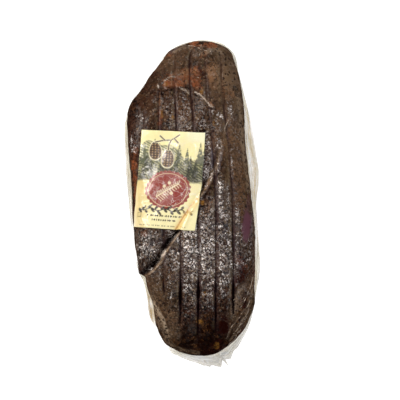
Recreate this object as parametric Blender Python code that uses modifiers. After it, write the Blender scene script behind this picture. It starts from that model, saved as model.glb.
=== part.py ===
"""A boneless venison prosciutto, vacuum-packed in a clear bag with a paper label.

Metres, +Z up. The ham lies on its flat underside with the labelled side up. Its length runs along Y,
with the slim end at +Y and the full, round end at -Y. The origin is on the table, under the middle of
the object's bounding box.

Three pieces, each its own object:
  ham       the pressed meat with the film that clings to it, as one solid with the relief of its top
  bag_film  the free edge of the clear bag, a thin crinkled sheet all round the ham's widest line
  label     the paper label that lies on the ham's left shoulder
"""

import math

import bmesh
import bpy
import numpy as np
from mathutils import Vector

# The ham, lengthways
SLIM_END = 0.1615
ROUND_END = -0.1525
LENGTH_MIDDLE = (SLIM_END + ROUND_END) / 2
HALF_LENGTH = (SLIM_END - ROUND_END) / 2

# The ham's plan: how far along, and where the left and the right edge are there
PLAN = (
    (SLIM_END, 0.0085, 0.0085),
    (0.159, -0.0090, 0.0230),
    (0.153, -0.0235, 0.0350),
    (0.141, -0.0335, 0.0400),
    (0.117, -0.0505, 0.0460),
    (0.095, -0.0655, 0.0495),
    (0.083, -0.0670, 0.0500),
    (0.053, -0.0660, 0.0515),
    (0.013, -0.0620, 0.0560),
    (-0.027, -0.0565, 0.0600),
    (-0.063, -0.0505, 0.0605),
    (-0.097, -0.0445, 0.0600),
    (-0.123, -0.0370, 0.0505),
    (-0.141, -0.0255, 0.0360),
    (-0.149, -0.0135, 0.0240),
    (ROUND_END, 0.0105, 0.0105),
)

# The flap of meat on the left stands past the body and stops with a step
FLAP_REACH = 0.0062
FLAP_STOP = -0.0735
FLAP_STOP_LENGTH = 0.0035
FLAP_FADE_END = 0.035

# Heights over the table
WIDEST_HEIGHT = 0.031
TOP_HEIGHT = 0.078
SLIM_TOP_SHARE = 0.70
FALL_FROM = -0.060
UNDERSIDE_PRESS = 1.08
END_BLUNTNESS_TOP = 0.55
END_BLUNTNESS_UNDER = 0.40

# How square each part of a cross-section is: 2 is an ellipse, and more is closer to a box
LEFT_SHOULDER = 4.4
RIGHT_SHOULDER = 2.9
UNDER_CORNER = 3.2
CROWN = 0.0035

# How soon the relief of the top dies out, towards the two sides and towards the two ends
CALM_SHOULDER = 1.5
CALM_END = 2.0

# Grooves that the bars of the press left, side by side along the ham
GROOVE_SPACING = 0.01745
MIDDLE_GROOVE = 0.0035
GROOVES_EACH_SIDE = 3
GROOVE_DEPTH = 0.0024
GROOVE_HALF_WIDTH = 0.0022
GROOVE_LEAN = 0.0084
LEAN_FROM, LEAN_TO = -0.015, 0.150
PILLOW = 0.0009

# Slow lumps of the muscles: height, wavelengths across and along, and a shift of the wave
LUMPS = (
    (0.0012, 0.058, 0.094, 0.7),
    (0.0008, 0.037, 0.061, 2.1),
    (0.0005, 0.025, 0.039, 4.0),
)

# The cleft between the flap and the body: plan position, and radius of the cut there
CLEFT = (
    (-0.0590, -0.0790, 0.0040),
    (-0.0470, -0.0710, 0.0040),
    (-0.0385, -0.0655, 0.0042),
    (-0.0320, -0.0570, 0.0044),
    (-0.0270, -0.0465, 0.0044),
    (-0.0150, -0.0275, 0.0038),
    (-0.0035, -0.0080, 0.0032),
    (0.0125, 0.0180, 0.0027),
    (0.0220, 0.0350, 0.0024),
    (0.0265, 0.0540, 0.0022),
)
CLEFT_SINK = 0.45
CLEFT_RISE_FROM = 0.85
CLEFT_RISE = 1.35
CLEFT_STEPS = 6
CLEFT_INSET = 0.004
CLEFT_FADE_FROM, CLEFT_FADE_TO = 0.45, 0.95
FLAP_DIP = 0.0048
FLAP_DIP_WIDTH = 0.0110
LIP_RISE = 0.0012
LIP_WIDTH = 0.0060
CLEFT_EDGE = 0.0048

# The clear bag's free edge: how far along, and where its left and right edges are there
BAG_SLIM_END = 0.1630
BAG_ROUND_END = -0.1615
BAG_PLAN = (
    (BAG_SLIM_END, 0.0095, 0.0095),
    (0.159, -0.0130, 0.0285),
    (0.149, -0.0290, 0.0400),
    (0.129, -0.0435, 0.0445),
    (0.105, -0.0615, 0.0510),
    (0.081, -0.0695, 0.0565),
    (0.051, -0.0695, 0.0610),
    (0.023, -0.0680, 0.0645),
    (0.009, -0.0665, 0.0625),
    (-0.027, -0.0635, 0.0635),
    (-0.063, -0.0600, 0.0655),
    (-0.077, -0.0545, 0.0655),
    (-0.105, -0.0480, 0.0625),
    (-0.129, -0.0395, 0.0530),
    (-0.149, -0.0235, 0.0400),
    (-0.157, -0.0070, 0.0320),
    (BAG_ROUND_END, 0.0180, 0.0180),
)
BAG_MIDDLE = (BAG_SLIM_END + BAG_ROUND_END) / 2
BAG_HALF = (BAG_SLIM_END - BAG_ROUND_END) / 2
FILM_THICKNESS = 0.0006
FILM_GAP = 0.0009
FILM_HEIGHT = WIDEST_HEIGHT - 0.001
FILM_DROOP = 0.0060
FILM_FULL_WIDTH = 0.008
FILM_WAVES = 23
FILM_WAVE_HEIGHT = 0.0011
FILM_STEPS_OUT = 2

# The label: its corners in plan, as left-top, right-top, right-bottom, left-bottom
LABEL_CORNERS = ((-0.0525, 0.0725), (0.0110, 0.0702), (0.0005, -0.0275), (-0.0590, -0.0255))
LABEL_THICKNESS = 0.0005
LABEL_GAP = 0.0013
LABEL_SLOPE_REACH = 0.0004
LABEL_DIP_SHARE = 0.0
LABEL_STEPS_ACROSS = 18
LABEL_CROWDING = 1.35
LABEL_STEPS_ALONG = 20

# How finely the ham is divided
ROWS = 78
ROW_EVENNESS = 0.42
GROOVE_COLUMNS = (-GROOVE_HALF_WIDTH, 0.0, GROOVE_HALF_WIDTH, 0.38 * GROOVE_SPACING, 0.62 * GROOVE_SPACING)
CORNER_COLUMNS = 5
UNDER_COLUMNS = 10
SHOULDER_START = 0.80
CONVERGE_FROM, CONVERGE_TO = 0.040, 0.012


def smooth_step(value, start, end):
    """0 before start, 1 past end, and an even S between them."""
    share = np.clip((value - start) / (end - start), 0.0, 1.0)
    return share * share * (3.0 - 2.0 * share)


def flowing(at, stations, values):
    """A smooth curve through the stations, whose slope at each is the slope between its neighbours."""
    slopes = np.gradient(values, stations)
    left = np.clip(np.searchsorted(stations, at) - 1, 0, len(stations) - 2)
    span = stations[left + 1] - stations[left]
    t = (at - stations[left]) / span
    start_share = (1 + 2 * t) * (1 - t) ** 2
    end_share = t * t * (3 - 2 * t)
    start_slope = t * (1 - t) ** 2 * span * slopes[left]
    end_slope = t * t * (t - 1) * span * slopes[left + 1]
    return start_share * values[left] + end_share * values[left + 1] + start_slope + end_slope


def turn_of(along, middle=LENGTH_MIDDLE, half=HALF_LENGTH):
    """The angle, 0 at the slim end and pi at the round end, whose cosine is the place along."""
    return np.arccos(np.clip((along - middle) / half, -1.0, 1.0))


def plan_edges(turn, plan, middle, half):
    """Left and right edge of a plan outline at an angle, smooth round both ends."""
    table = np.array(plan)
    stations = turn_of(table[:, 0], middle, half)
    return flowing(turn, stations, table[:, 1]), flowing(turn, stations, table[:, 2])


def ham_edges(turn):
    """Left and right edge of the ham, with the flap's step on the left."""
    left, right = plan_edges(turn, PLAN, LENGTH_MIDDLE, HALF_LENGTH)
    along = LENGTH_MIDDLE + HALF_LENGTH * np.cos(turn)
    flap = smooth_step(along, FLAP_STOP, FLAP_STOP + FLAP_STOP_LENGTH)
    flap = flap * (1 - smooth_step(along, FLAP_STOP, FLAP_FADE_END))
    return left - FLAP_REACH * flap, right


def groove_lean(along):
    """How far the grooves lean to the left at a place along the ham."""
    return -GROOVE_LEAN * smooth_step(along, LEAN_FROM, LEAN_TO)


def top_rise(turn):
    """Height of the ham's crest over its widest line."""
    along = LENGTH_MIDDLE + HALF_LENGTH * np.cos(turn)
    share = 1 - (1 - SLIM_TOP_SHARE) * smooth_step(along, FALL_FROM, SLIM_END)
    return (TOP_HEIGHT - WIDEST_HEIGHT) * share * np.sin(turn) ** END_BLUNTNESS_TOP


def cleft_distance(x, y):
    """Distance from the cleft's line, positive on the flap's side, and the share of the way along it."""
    line = np.array(CLEFT)[:, :2]
    best = np.full(np.shape(x), np.inf)
    signed = np.zeros(np.shape(x))
    place = np.zeros(np.shape(x))
    for i in range(len(line) - 1):
        start, step = line[i], line[i + 1] - line[i]
        t = ((x - start[0]) * step[0] + (y - start[1]) * step[1]) / (step @ step)
        t = np.clip(t, 0.0, 1.0)
        dx, dy = x - start[0] - t * step[0], y - start[1] - t * step[1]
        away = np.hypot(dx, dy)
        side = np.sign(step[0] * dy - step[1] * dx)
        nearer = away < best
        best = np.where(nearer, away, best)
        signed = np.where(nearer, side * away, signed)
        place = np.where(nearer, (i + t) / (len(line) - 1), place)
    return signed, place


def top_relief(x, y, dip_share):
    """Slow lumps, the pillows between the grooves, the body's lip and the flap's dip at the cleft."""
    height = np.zeros(np.shape(x))
    for lump, across, along, shift in LUMPS:
        sideways, lengthways = np.sin(math.tau * x / across + shift), np.cos(math.tau * y / along + 2 * shift)
        height = height + lump * sideways * lengthways
    phase = (x - groove_lean(y) - MIDDLE_GROOVE) / GROOVE_SPACING
    height = height + PILLOW * (np.abs(np.sin(math.pi * phase)) - 1)
    away, place = cleft_distance(x, y)
    fade = 1 - smooth_step(place, CLEFT_FADE_FROM, CLEFT_FADE_TO)
    dip = dip_share * FLAP_DIP * np.exp(-np.abs(away) / FLAP_DIP_WIDTH)
    lip = LIP_RISE * np.exp(-np.abs(away) / LIP_WIDTH)
    flap_side = smooth_step(away, -CLEFT_EDGE, CLEFT_EDGE)
    return height + fade * (lip * (1 - flap_side) - dip * flap_side)


def top_height(x, y, dip_share=1.0):
    """Height of the ham's top at a place in plan, without its grooves."""
    turn = turn_of(y)
    left, right = ham_edges(turn)
    centre, half = (left + right) / 2, np.maximum((right - left) / 2, 1e-6)
    share = np.clip((x - centre) / half, -1.0, 1.0)
    power = np.where(share < 0, LEFT_SHOULDER, RIGHT_SHOULDER)
    shoulder = (1 - np.abs(share) ** power) ** (1 / power)
    calm = np.minimum(1.0, shoulder * CALM_SHOULDER) * np.minimum(1.0, np.sin(turn) * CALM_END)
    crest = top_rise(turn) * shoulder
    return WIDEST_HEIGHT + crest + calm * (top_relief(x, y, dip_share) - CROWN * share**2)


def column_places():
    """Places across for the columns that follow the grooves, and which of them are a groove's bottom."""
    places, bottoms = [], []
    for k in range(-GROOVES_EACH_SIDE, GROOVES_EACH_SIDE + 1):
        for offset in GROOVE_COLUMNS:
            places.append(MIDDLE_GROOVE + k * GROOVE_SPACING + offset)
            bottoms.append(offset == 0.0)
    return np.array(places), np.array(bottoms)


def ham_row(turn):
    """The points of one cross-section of the ham, from its left edge over the top and back underneath."""
    along = float(LENGTH_MIDDLE + HALF_LENGTH * np.cos(turn))
    left, right = (float(edge[0]) for edge in ham_edges(np.array([turn])))
    centre, half = (left + right) / 2, (right - left) / 2
    places, bottoms = column_places()
    wanted = (places + groove_lean(along) - centre) / half / SHOULDER_START
    held = SHOULDER_START * wanted / (1 + np.abs(wanted) ** 6) ** (1 / 6)
    even = SHOULDER_START * np.linspace(-1, 1, len(places))
    straight = smooth_step(half, CONVERGE_TO, CONVERGE_FROM)
    middle = straight * held + (1 - straight) * even
    spread = (1 + np.abs(wanted) ** 6) ** (-7 / 6)
    sides = []
    for power in (LEFT_SHOULDER, RIGHT_SHOULDER):
        first = math.asin(SHOULDER_START ** (power / 2))
        angles = np.linspace(first, math.pi / 2, CORNER_COLUMNS + 1)[1:]
        sides.append(np.sin(angles) ** (2 / power))
    share = np.concatenate([-sides[0][::-1], middle, sides[1]])
    x = centre + half * share
    z = top_height(x, np.full(x.shape, along))
    z[CORNER_COLUMNS:-CORNER_COLUMNS] -= np.where(bottoms, GROOVE_DEPTH * spread * straight, 0.0)
    under_angle = np.linspace(math.pi / 2, -math.pi / 2, UNDER_COLUMNS + 2)[1:-1]
    under_share = np.sign(under_angle) * np.abs(np.sin(under_angle)) ** (2 / UNDER_CORNER)
    under_depth = WIDEST_HEIGHT * UNDERSIDE_PRESS * np.sin(turn) ** END_BLUNTNESS_UNDER
    under_z = WIDEST_HEIGHT - under_depth * np.cos(under_angle) ** (2 / UNDER_CORNER)
    points = [(px, along, pz) for px, pz in zip(x, z)]
    points += [(centre + half * s, along, max(0.0, pz)) for s, pz in zip(under_share, under_z)]
    return points


def row_turns():
    """Angles of the ham's rows from the slim end to the round end, spread to about even steps."""
    share = np.linspace(0.0, 1.0, ROWS + 1)
    return math.pi * share + ROW_EVENNESS / 2 * np.sin(math.tau * share)


def material(name, colour, roughness, alpha=1.0):
    made = bpy.data.materials.new(name)
    made.use_nodes = True
    shader = made.node_tree.nodes["Principled BSDF"]
    shader.inputs["Base Color"].default_value = (*colour, 1.0)
    shader.inputs["Roughness"].default_value = roughness
    shader.inputs["Metallic"].default_value = 0.0
    shader.inputs["Alpha"].default_value = alpha
    return made


def object_from(name, points, faces, collection, look):
    """A mesh object of these points and faces, shaded smooth, in a collection."""
    mesh = bpy.data.meshes.new(name)
    mesh.from_pydata([Vector(p) for p in points], [], faces)
    mesh.materials.append(look)
    mesh.shade_smooth()
    made = bpy.data.objects.new(name, mesh)
    collection.objects.link(made)
    return made


def make_ham(collection):
    """A loft of cross-sections between a point at each end."""
    turns = row_turns()
    rings = [ham_row(turn) for turn in turns[1:-1]]
    size = len(rings[0])
    points = [point for ring in rings for point in ring]
    slim_tip, round_tip = len(points), len(points) + 1
    points.append((PLAN[0][1], SLIM_END, WIDEST_HEIGHT))
    points.append((PLAN[-1][1], ROUND_END, WIDEST_HEIGHT))
    faces = []
    for j in range(size):
        after = (j + 1) % size
        faces.append((slim_tip, j, after))
        for i in range(len(rings) - 1):
            faces.append((i * size + j, (i + 1) * size + j, (i + 1) * size + after, i * size + after))
        last = (len(rings) - 1) * size
        faces.append((round_tip, last + after, last + j))
    return object_from("ham", points, faces, collection, material("cured_meat", (0.075, 0.045, 0.03), 0.4))


def make_cleft_cutter(collection):
    """A tapering round channel that follows the cleft's line along the ham's top."""
    rough = np.array(CLEFT)
    place = np.arange(len(rough), dtype=float)
    fine = np.linspace(0, len(rough) - 1, CLEFT_STEPS * (len(rough) - 1) + 1)
    x, y, radius = (flowing(fine, place, rough[:, k]) for k in range(3))
    edge = ham_edges(turn_of(y))[0]
    out = CLEFT_RISE * smooth_step(fine / fine[-1], CLEFT_RISE_FROM, 1.0)
    z = top_height(np.maximum(x, edge + CLEFT_INSET), y) + (out - CLEFT_SINK) * radius
    curve = bpy.data.curves.new("cleft_line", "CURVE")
    curve.dimensions = "3D"
    curve.bevel_depth = 1.0
    curve.bevel_resolution = 2
    curve.use_fill_caps = True
    spline = curve.splines.new("POLY")
    spline.points.add(len(x) - 1)
    for point, px, py, pz, r in zip(spline.points, x, y, z, radius):
        point.co = (px, py, pz, 1.0)
        point.radius = r
    line = bpy.data.objects.new("cleft_line", curve)
    collection.objects.link(line)
    bpy.context.view_layer.update()
    evaluated = line.evaluated_get(bpy.context.evaluated_depsgraph_get())
    mesh = bpy.data.meshes.new_from_object(evaluated)
    welded = bmesh.new()
    welded.from_mesh(mesh)
    bmesh.ops.remove_doubles(welded, verts=welded.verts, dist=0.00001)
    welded.to_mesh(mesh)
    welded.free()
    cutter = bpy.data.objects.new("cleft_cutter", mesh)
    cutter.matrix_world = line.matrix_world
    bpy.data.objects.remove(line)
    collection.objects.link(cutter)
    cutter.hide_render = True
    cutter.display_type = "WIRE"
    return cutter


def cut(body, cutter):
    boolean = body.modifiers.new("cleft", "BOOLEAN")
    boolean.object = cutter
    boolean.operation = "DIFFERENCE"
    boolean.solver = "EXACT"
    boolean.use_self = True


def film_ring(turn, side, step):
    """A point of the bag's free edge: step 0 beside the ham, FILM_STEPS_OUT at the outer edge."""
    inner = ham_edges(np.array([turn]))
    outer = plan_edges(np.array([turn]), BAG_PLAN, BAG_MIDDLE, BAG_HALF)
    sideways, lengthways = (-1, 1)[side] * FILM_GAP * math.sin(turn), FILM_GAP * math.cos(turn)
    near = np.array([inner[side][0] + sideways, LENGTH_MIDDLE + HALF_LENGTH * math.cos(turn) + lengthways])
    far = np.array([outer[side][0], BAG_MIDDLE + BAG_HALF * math.cos(turn)])
    share = step / FILM_STEPS_OUT
    place = near + share * (far - near)
    width = float(np.hypot(*(far - near)))
    wave = math.sin(FILM_WAVES * turn + side) * FILM_WAVE_HEIGHT * share
    droop = FILM_DROOP * share**2 * min(1.0, width / FILM_FULL_WIDTH)
    return (float(place[0]), float(place[1]), FILM_HEIGHT + wave - droop)


def make_bag_film(collection):
    """A closed ring of sheet round the ham's widest line, thickened by Solidify."""
    turns = row_turns()
    loop = [(turn, 0) for turn in turns] + [(turn, 1) for turn in turns[-2:0:-1]]
    points = [film_ring(turn, side, step) for turn, side in loop for step in range(FILM_STEPS_OUT + 1)]
    size = FILM_STEPS_OUT + 1
    faces = []
    for i in range(len(loop)):
        here, after = i * size, (i + 1) % len(loop) * size
        for step in range(FILM_STEPS_OUT):
            faces.append((here + step, here + step + 1, after + step + 1, after + step))
    look = material("clear_film", (0.80, 0.78, 0.72), 0.15, 0.35)
    made = object_from("bag_film", points, faces, collection, look)
    wall = made.modifiers.new("film thickness", "SOLIDIFY")
    wall.thickness = FILM_THICKNESS
    wall.offset = 0.0
    return made


def label_point(across, along):
    """A point under the label, held off the ham's top along the slope's own direction."""
    left_top, right_top, right_bottom, left_bottom = (np.array(c) for c in LABEL_CORNERS)
    top = left_top + across * (right_top - left_top)
    bottom = left_bottom + across * (right_bottom - left_bottom)
    x, y = bottom + along * (top - bottom)
    reach = LABEL_SLOPE_REACH
    xs = np.array([x, x + reach, x - reach, x, x])
    ys = np.array([y, y, y, y + reach, y - reach])
    z = top_height(xs, ys, LABEL_DIP_SHARE)
    normal = Vector((-(z[1] - z[2]) / (2 * reach), -(z[3] - z[4]) / (2 * reach), 1.0)).normalized()
    return Vector((x, y, z[0])) + LABEL_GAP * normal


def make_label(collection):
    """A sheet of paper that follows the ham's top, thickened upwards."""
    points = [
        label_point((i / LABEL_STEPS_ACROSS) ** LABEL_CROWDING, j / LABEL_STEPS_ALONG)
        for j in range(LABEL_STEPS_ALONG + 1)
        for i in range(LABEL_STEPS_ACROSS + 1)
    ]
    row = LABEL_STEPS_ACROSS + 1
    faces = [
        (j * row + i, j * row + i + 1, (j + 1) * row + i + 1, (j + 1) * row + i)
        for j in range(LABEL_STEPS_ALONG)
        for i in range(LABEL_STEPS_ACROSS)
    ]
    made = object_from("label", points, faces, collection, material("label_paper", (0.93, 0.84, 0.50), 0.6))
    wall = made.modifiers.new("paper thickness", "SOLIDIFY")
    wall.thickness = LABEL_THICKNESS
    wall.offset = 1.0
    return made


def shift_to_origin(objects):
    """The move that brings the underside of the common bounding box onto the origin, by its middle."""
    bpy.context.view_layer.update()
    graph = bpy.context.evaluated_depsgraph_get()
    corners = []
    for obj in objects:
        mesh = obj.evaluated_get(graph).to_mesh()
        corners += [obj.matrix_world @ v.co for v in mesh.vertices]
    low = Vector([min(c[k] for c in corners) for k in range(3)])
    high = Vector([max(c[k] for c in corners) for k in range(3)])
    return Vector((-(low.x + high.x) / 2, -(low.y + high.y) / 2, -low.z))


def main():
    for obj in list(bpy.data.objects):
        bpy.data.objects.remove(obj)
    parts = bpy.data.collections.new("venison_prosciutto")
    cutters = bpy.data.collections.new("cutters")
    for collection in (parts, cutters):
        bpy.context.scene.collection.children.link(collection)
    ham = make_ham(parts)
    cutter = make_cleft_cutter(cutters)
    cut(ham, cutter)
    pieces = [ham, make_bag_film(parts), make_label(parts)]
    shift = shift_to_origin(pieces)
    for obj in (*pieces, cutter):
        obj.location = shift
    print("moved to centre by", [round(1000 * s, 2) for s in shift], "mm")


main()
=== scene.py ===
# %% [markdown]
# # A vacuum-packed venison prosciutto
# This script dresses the plain solids of a boneless cured ham in its real looks: dark pressed meat under
# tight clear film, the crinkled free edge of the bag, and a paper label. The solids come first, as a
# frame, because every piece has to sit where its solid does.

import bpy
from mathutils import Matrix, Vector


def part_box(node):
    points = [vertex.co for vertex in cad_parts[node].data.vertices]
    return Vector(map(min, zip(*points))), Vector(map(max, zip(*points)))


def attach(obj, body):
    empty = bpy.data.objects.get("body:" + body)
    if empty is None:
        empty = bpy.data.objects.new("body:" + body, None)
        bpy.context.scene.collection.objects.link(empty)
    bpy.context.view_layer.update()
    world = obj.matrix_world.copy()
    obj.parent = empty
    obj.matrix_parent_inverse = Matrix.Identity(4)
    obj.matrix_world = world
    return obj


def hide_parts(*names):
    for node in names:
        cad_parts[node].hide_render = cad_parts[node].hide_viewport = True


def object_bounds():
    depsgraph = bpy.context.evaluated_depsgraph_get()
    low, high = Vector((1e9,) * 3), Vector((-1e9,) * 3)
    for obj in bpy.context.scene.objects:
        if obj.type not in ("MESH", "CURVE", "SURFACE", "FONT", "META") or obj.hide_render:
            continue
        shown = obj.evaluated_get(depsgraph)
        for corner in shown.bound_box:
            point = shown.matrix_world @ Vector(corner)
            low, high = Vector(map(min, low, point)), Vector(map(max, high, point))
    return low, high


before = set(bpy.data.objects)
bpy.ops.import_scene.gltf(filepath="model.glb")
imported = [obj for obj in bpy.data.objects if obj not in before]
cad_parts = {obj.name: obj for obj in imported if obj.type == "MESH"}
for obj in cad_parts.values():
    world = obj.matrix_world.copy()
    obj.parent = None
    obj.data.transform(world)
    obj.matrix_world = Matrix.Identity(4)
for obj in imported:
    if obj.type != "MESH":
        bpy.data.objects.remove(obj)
cad_low, cad_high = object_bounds()
spans = [round(1000 * (high - low), 1) for low, high in zip(cad_low, cad_high)]
print("frame:", sorted(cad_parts), "box", spans, "mm")

# %% Modules and small helpers
import math
from functools import partial

import bpy
import numpy as np
from mathutils import Vector

MM = 0.001


def linear(hex_colour):
    """An sRGB hex colour, such as 9A4A25, as the linear red, green, blue and alpha that shaders use."""
    parts = np.array([int(hex_colour[k:k + 2], 16) / 255 for k in (0, 2, 4)])
    bright = ((parts + 0.055) / 1.055) ** 2.4
    return (*np.where(parts <= 0.04045, parts / 12.92, bright).tolist(), 1.0)


def smooth_step(value, start, end):
    """0 before start, 1 past end, and an even S between them."""
    share = np.clip((value - start) / (end - start), 0.0, 1.0)
    return share * share * (3.0 - 2.0 * share)


def flowing(at, stations, values):
    """A smooth curve through the stations, whose slope at each is the slope between its neighbours."""
    slopes = np.gradient(values, stations)
    left = np.clip(np.searchsorted(stations, at) - 1, 0, len(stations) - 2)
    span = stations[left + 1] - stations[left]
    t = (at - stations[left]) / span
    ends = (1 + 2 * t) * (1 - t) ** 2 * values[left] + t * t * (3 - 2 * t) * values[left + 1]
    return ends + t * (1 - t) ** 2 * span * slopes[left] + t * t * (t - 1) * span * slopes[left + 1]


def bell(away, place, width, power=2):
    """1 at the place and falling to 0 on both sides of it, flatter on top for a higher power."""
    return np.exp(-((away - place) / width) ** power)


print("mid grey 808080 is", round(linear("808080")[0], 3), "in linear light")

# %% [markdown]
# ## Rough noise as an array
# Nothing on cured meat repeats, so its lumps need a noise. Blender's texture nodes have one, but they only
# change colours and normals. A lump that shows in the outline has to move the points, so the same kind
# of noise is written here for whole arrays: random values on a lattice, blended smoothly between.

# %% Noise on arrays
LATTICE_PRIMES, SEED_PRIME, MIXING_PRIME = (73856093, 19349663, 83492791), 2654435761, 1274126177


def noise(x, y, z, size, seed):
    """Random values from -1 to 1 on a cubic lattice whose cells measure size, blended with an S curve."""
    cells, shares = [], []
    for coordinate in (x, y, z):
        scaled = np.asarray(coordinate, float) / size + 1000.0
        floor = np.floor(scaled)
        cells.append(floor.astype(np.int64))
        part = scaled - floor
        shares.append(part * part * (3 - 2 * part))
    total = 0.0
    for corner in range(8):
        key, weight = seed * SEED_PRIME, 1.0
        for axis in range(3):
            far = corner >> axis & 1
            key = key ^ (cells[axis] + far) * LATTICE_PRIMES[axis]
            weight = weight * (shares[axis] if far else 1 - shares[axis])
        key = (key ^ key >> 13) * MIXING_PRIME & 0x7FFFFFFF
        total = total + weight * ((key % 65536) / 32767.5 - 1)
    return total


def flat_noise(x, y, size, seed):
    """The same noise on a plane."""
    return noise(x, y, 0 * x, size, seed)


probe = flat_noise(np.linspace(0, 1, 500), np.zeros(500), 0.02, 1)
print("noise runs from", round(float(probe.min()), 2), "to", round(float(probe.max()), 2))

# %% [markdown]
# ## The ham's form
# A boned leg is pressed in a mould with bars, which leaves a loaf with lengthwise grooves. One way to model
# it is to sculpt a block. Here it is a loft instead: a left and a right edge that change along the ham, and
# a cross-section between them that is nearly square on the left and rounder on the right. A formula keeps
# the grooves straight and lets the label and the film ask for the height of the meat at any place.

# %% Driving sizes of the ham, in metres, in the drawing's own frame
SLIM_END = 0.1615
ROUND_END = -0.1525
LENGTH_MIDDLE = (SLIM_END + ROUND_END) / 2
HALF_LENGTH = (SLIM_END - ROUND_END) / 2
PLAN = np.array([
    (SLIM_END, 0.0085, 0.0085), (0.159, -0.0090, 0.0230), (0.153, -0.0235, 0.0350),
    (0.141, -0.0335, 0.0400), (0.117, -0.0505, 0.0460), (0.095, -0.0655, 0.0495),
    (0.083, -0.0670, 0.0500), (0.053, -0.0660, 0.0515), (0.013, -0.0620, 0.0560),
    (-0.027, -0.0565, 0.0600), (-0.063, -0.0505, 0.0605), (-0.085, -0.0468, 0.0602),
    (-0.097, -0.0425, 0.0602), (-0.123, -0.0375, 0.0513), (-0.141, -0.0278, 0.0356),
    (-0.149, -0.0135, 0.0240), (ROUND_END, 0.0105, 0.0105),
])
FLAP_REACH, FLAP_STOP, FLAP_STOP_LENGTH, FLAP_FADE_END = 0.0062, -0.0735, 0.0035, 0.035
WIDEST_HEIGHT, TOP_HEIGHT, SLIM_TOP_SHARE = 0.031, 0.078, 0.70
UNDERSIDE_PRESS, END_BLUNTNESS_TOP, END_BLUNTNESS_UNDER = 1.08, 0.55, 0.40
LEFT_SHOULDER, RIGHT_SHOULDER, UNDER_CORNER, CROWN = 4.4, 2.9, 3.2, 0.0035
GROOVE_SPACING, MIDDLE_GROOVE, GROOVES_EACH_SIDE = 0.01745, 0.0035, 3
GROOVE_LEAN, LEAN_FROM, LEAN_TO, PILLOW = 0.0084, -0.015, 0.150, 0.0009
SLIM_END_SQUEEZE, SQUEEZE_FROM, SQUEEZE_TO, CREST_FALLS_FROM = 0.10, 0.055, 0.110, -0.060
LUMPS = ((0.0012, 0.058, 0.094, 0.7), (0.0008, 0.037, 0.061, 2.1), (0.0005, 0.025, 0.039, 4.0))
SHOULDER_START, CONVERGE_FROM, CONVERGE_TO = 0.80, 0.040, 0.012
print("ham", round(2000 * HALF_LENGTH), "mm long,", round(1000 * TOP_HEIGHT), "mm high")


# %% Edges, lean and height of the crest
def turn_of(along, middle=LENGTH_MIDDLE, half=HALF_LENGTH):
    """The angle, 0 at the slim end and pi at the round end, whose cosine is the place along."""
    return np.arccos(np.clip((along - middle) / half, -1.0, 1.0))


def ham_edges(turn):
    """Left and right edge: a curve through the plan's stations, and the flap's step on the left."""
    stations = turn_of(PLAN[:, 0])
    left, right = flowing(turn, stations, PLAN[:, 1]), flowing(turn, stations, PLAN[:, 2])
    along = LENGTH_MIDDLE + HALF_LENGTH * np.cos(turn)
    flap = smooth_step(along, FLAP_STOP, FLAP_STOP + FLAP_STOP_LENGTH)
    return left - FLAP_REACH * flap * (1 - smooth_step(along, FLAP_STOP, FLAP_FADE_END)), right


def groove_lean(along):
    """How far the grooves lean to the left at a place along the ham."""
    return -GROOVE_LEAN * smooth_step(along, LEAN_FROM, LEAN_TO)


def groove_squeeze(along):
    """How much closer together the grooves lie at a place, as a share of their usual spacing."""
    return 1 - SLIM_END_SQUEEZE * smooth_step(along, SQUEEZE_FROM, SQUEEZE_TO)


def top_rise(turn):
    """Height of the crest over the widest line: full at the round end, falling towards the slim one."""
    along = LENGTH_MIDDLE + HALF_LENGTH * np.cos(turn)
    share = 1 - (1 - SLIM_TOP_SHARE) * smooth_step(along, CREST_FALLS_FROM, SLIM_END)
    return (TOP_HEIGHT - WIDEST_HEIGHT) * share * np.sin(turn) ** END_BLUNTNESS_TOP


print("crest", round(1000 * (WIDEST_HEIGHT + float(top_rise(np.array([2.0]))[0])), 1), "mm over the table")

# %% [markdown]
# ## Where the drawing lies in the frame
# The solids were moved so that the origin is under their middle. The same shift is found here by setting the
# ham's own edges against the box of its node, so that nothing is written down twice.

# %% The shift from the drawing to the frame
ham_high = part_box("ham")[1]
rightmost = float(ham_edges(np.linspace(0, math.pi, 4001))[1].max())
SHIFT = Vector((ham_high[0] - rightmost, ham_high[1] - SLIM_END, 0.0))
print("shift", [round(1000 * s, 2) for s in SHIFT], "mm")

# %% [markdown]
# ## The cleft, and distances to lines
# On the left a flap of meat was folded against the body. It stops at a deep diagonal cleft whose right side
# stands up as a pale lip. The grooves, the cleft and the creases of the film are all lines that the surface
# rises or sinks beside, so one helper measures how far every point is from a line.

# %% Distance from a line
def line_distance(x, y, line):
    """For each point: its signed distance from the line, positive on the left of the way it runs, and the
    share of the way along. Each straight stretch is tried in turn, and the nearest one is kept."""
    best, signed, place = np.full(np.shape(x), np.inf), np.zeros(np.shape(x)), np.zeros(np.shape(x))
    for i in range(len(line) - 1):
        start, step = line[i][:2], line[i + 1][:2] - line[i][:2]
        t = np.clip(((x - start[0]) * step[0] + (y - start[1]) * step[1]) / (step @ step), 0.0, 1.0)
        dx, dy = x - start[0] - t * step[0], y - start[1] - t * step[1]
        away = np.hypot(dx, dy)
        nearer = away < best
        signed = np.where(nearer, np.sign(step[0] * dy - step[1] * dx) * away, signed)
        place = np.where(nearer, (i + t) / (len(line) - 1), place)
        best = np.minimum(best, away)
    return signed, place


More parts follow.
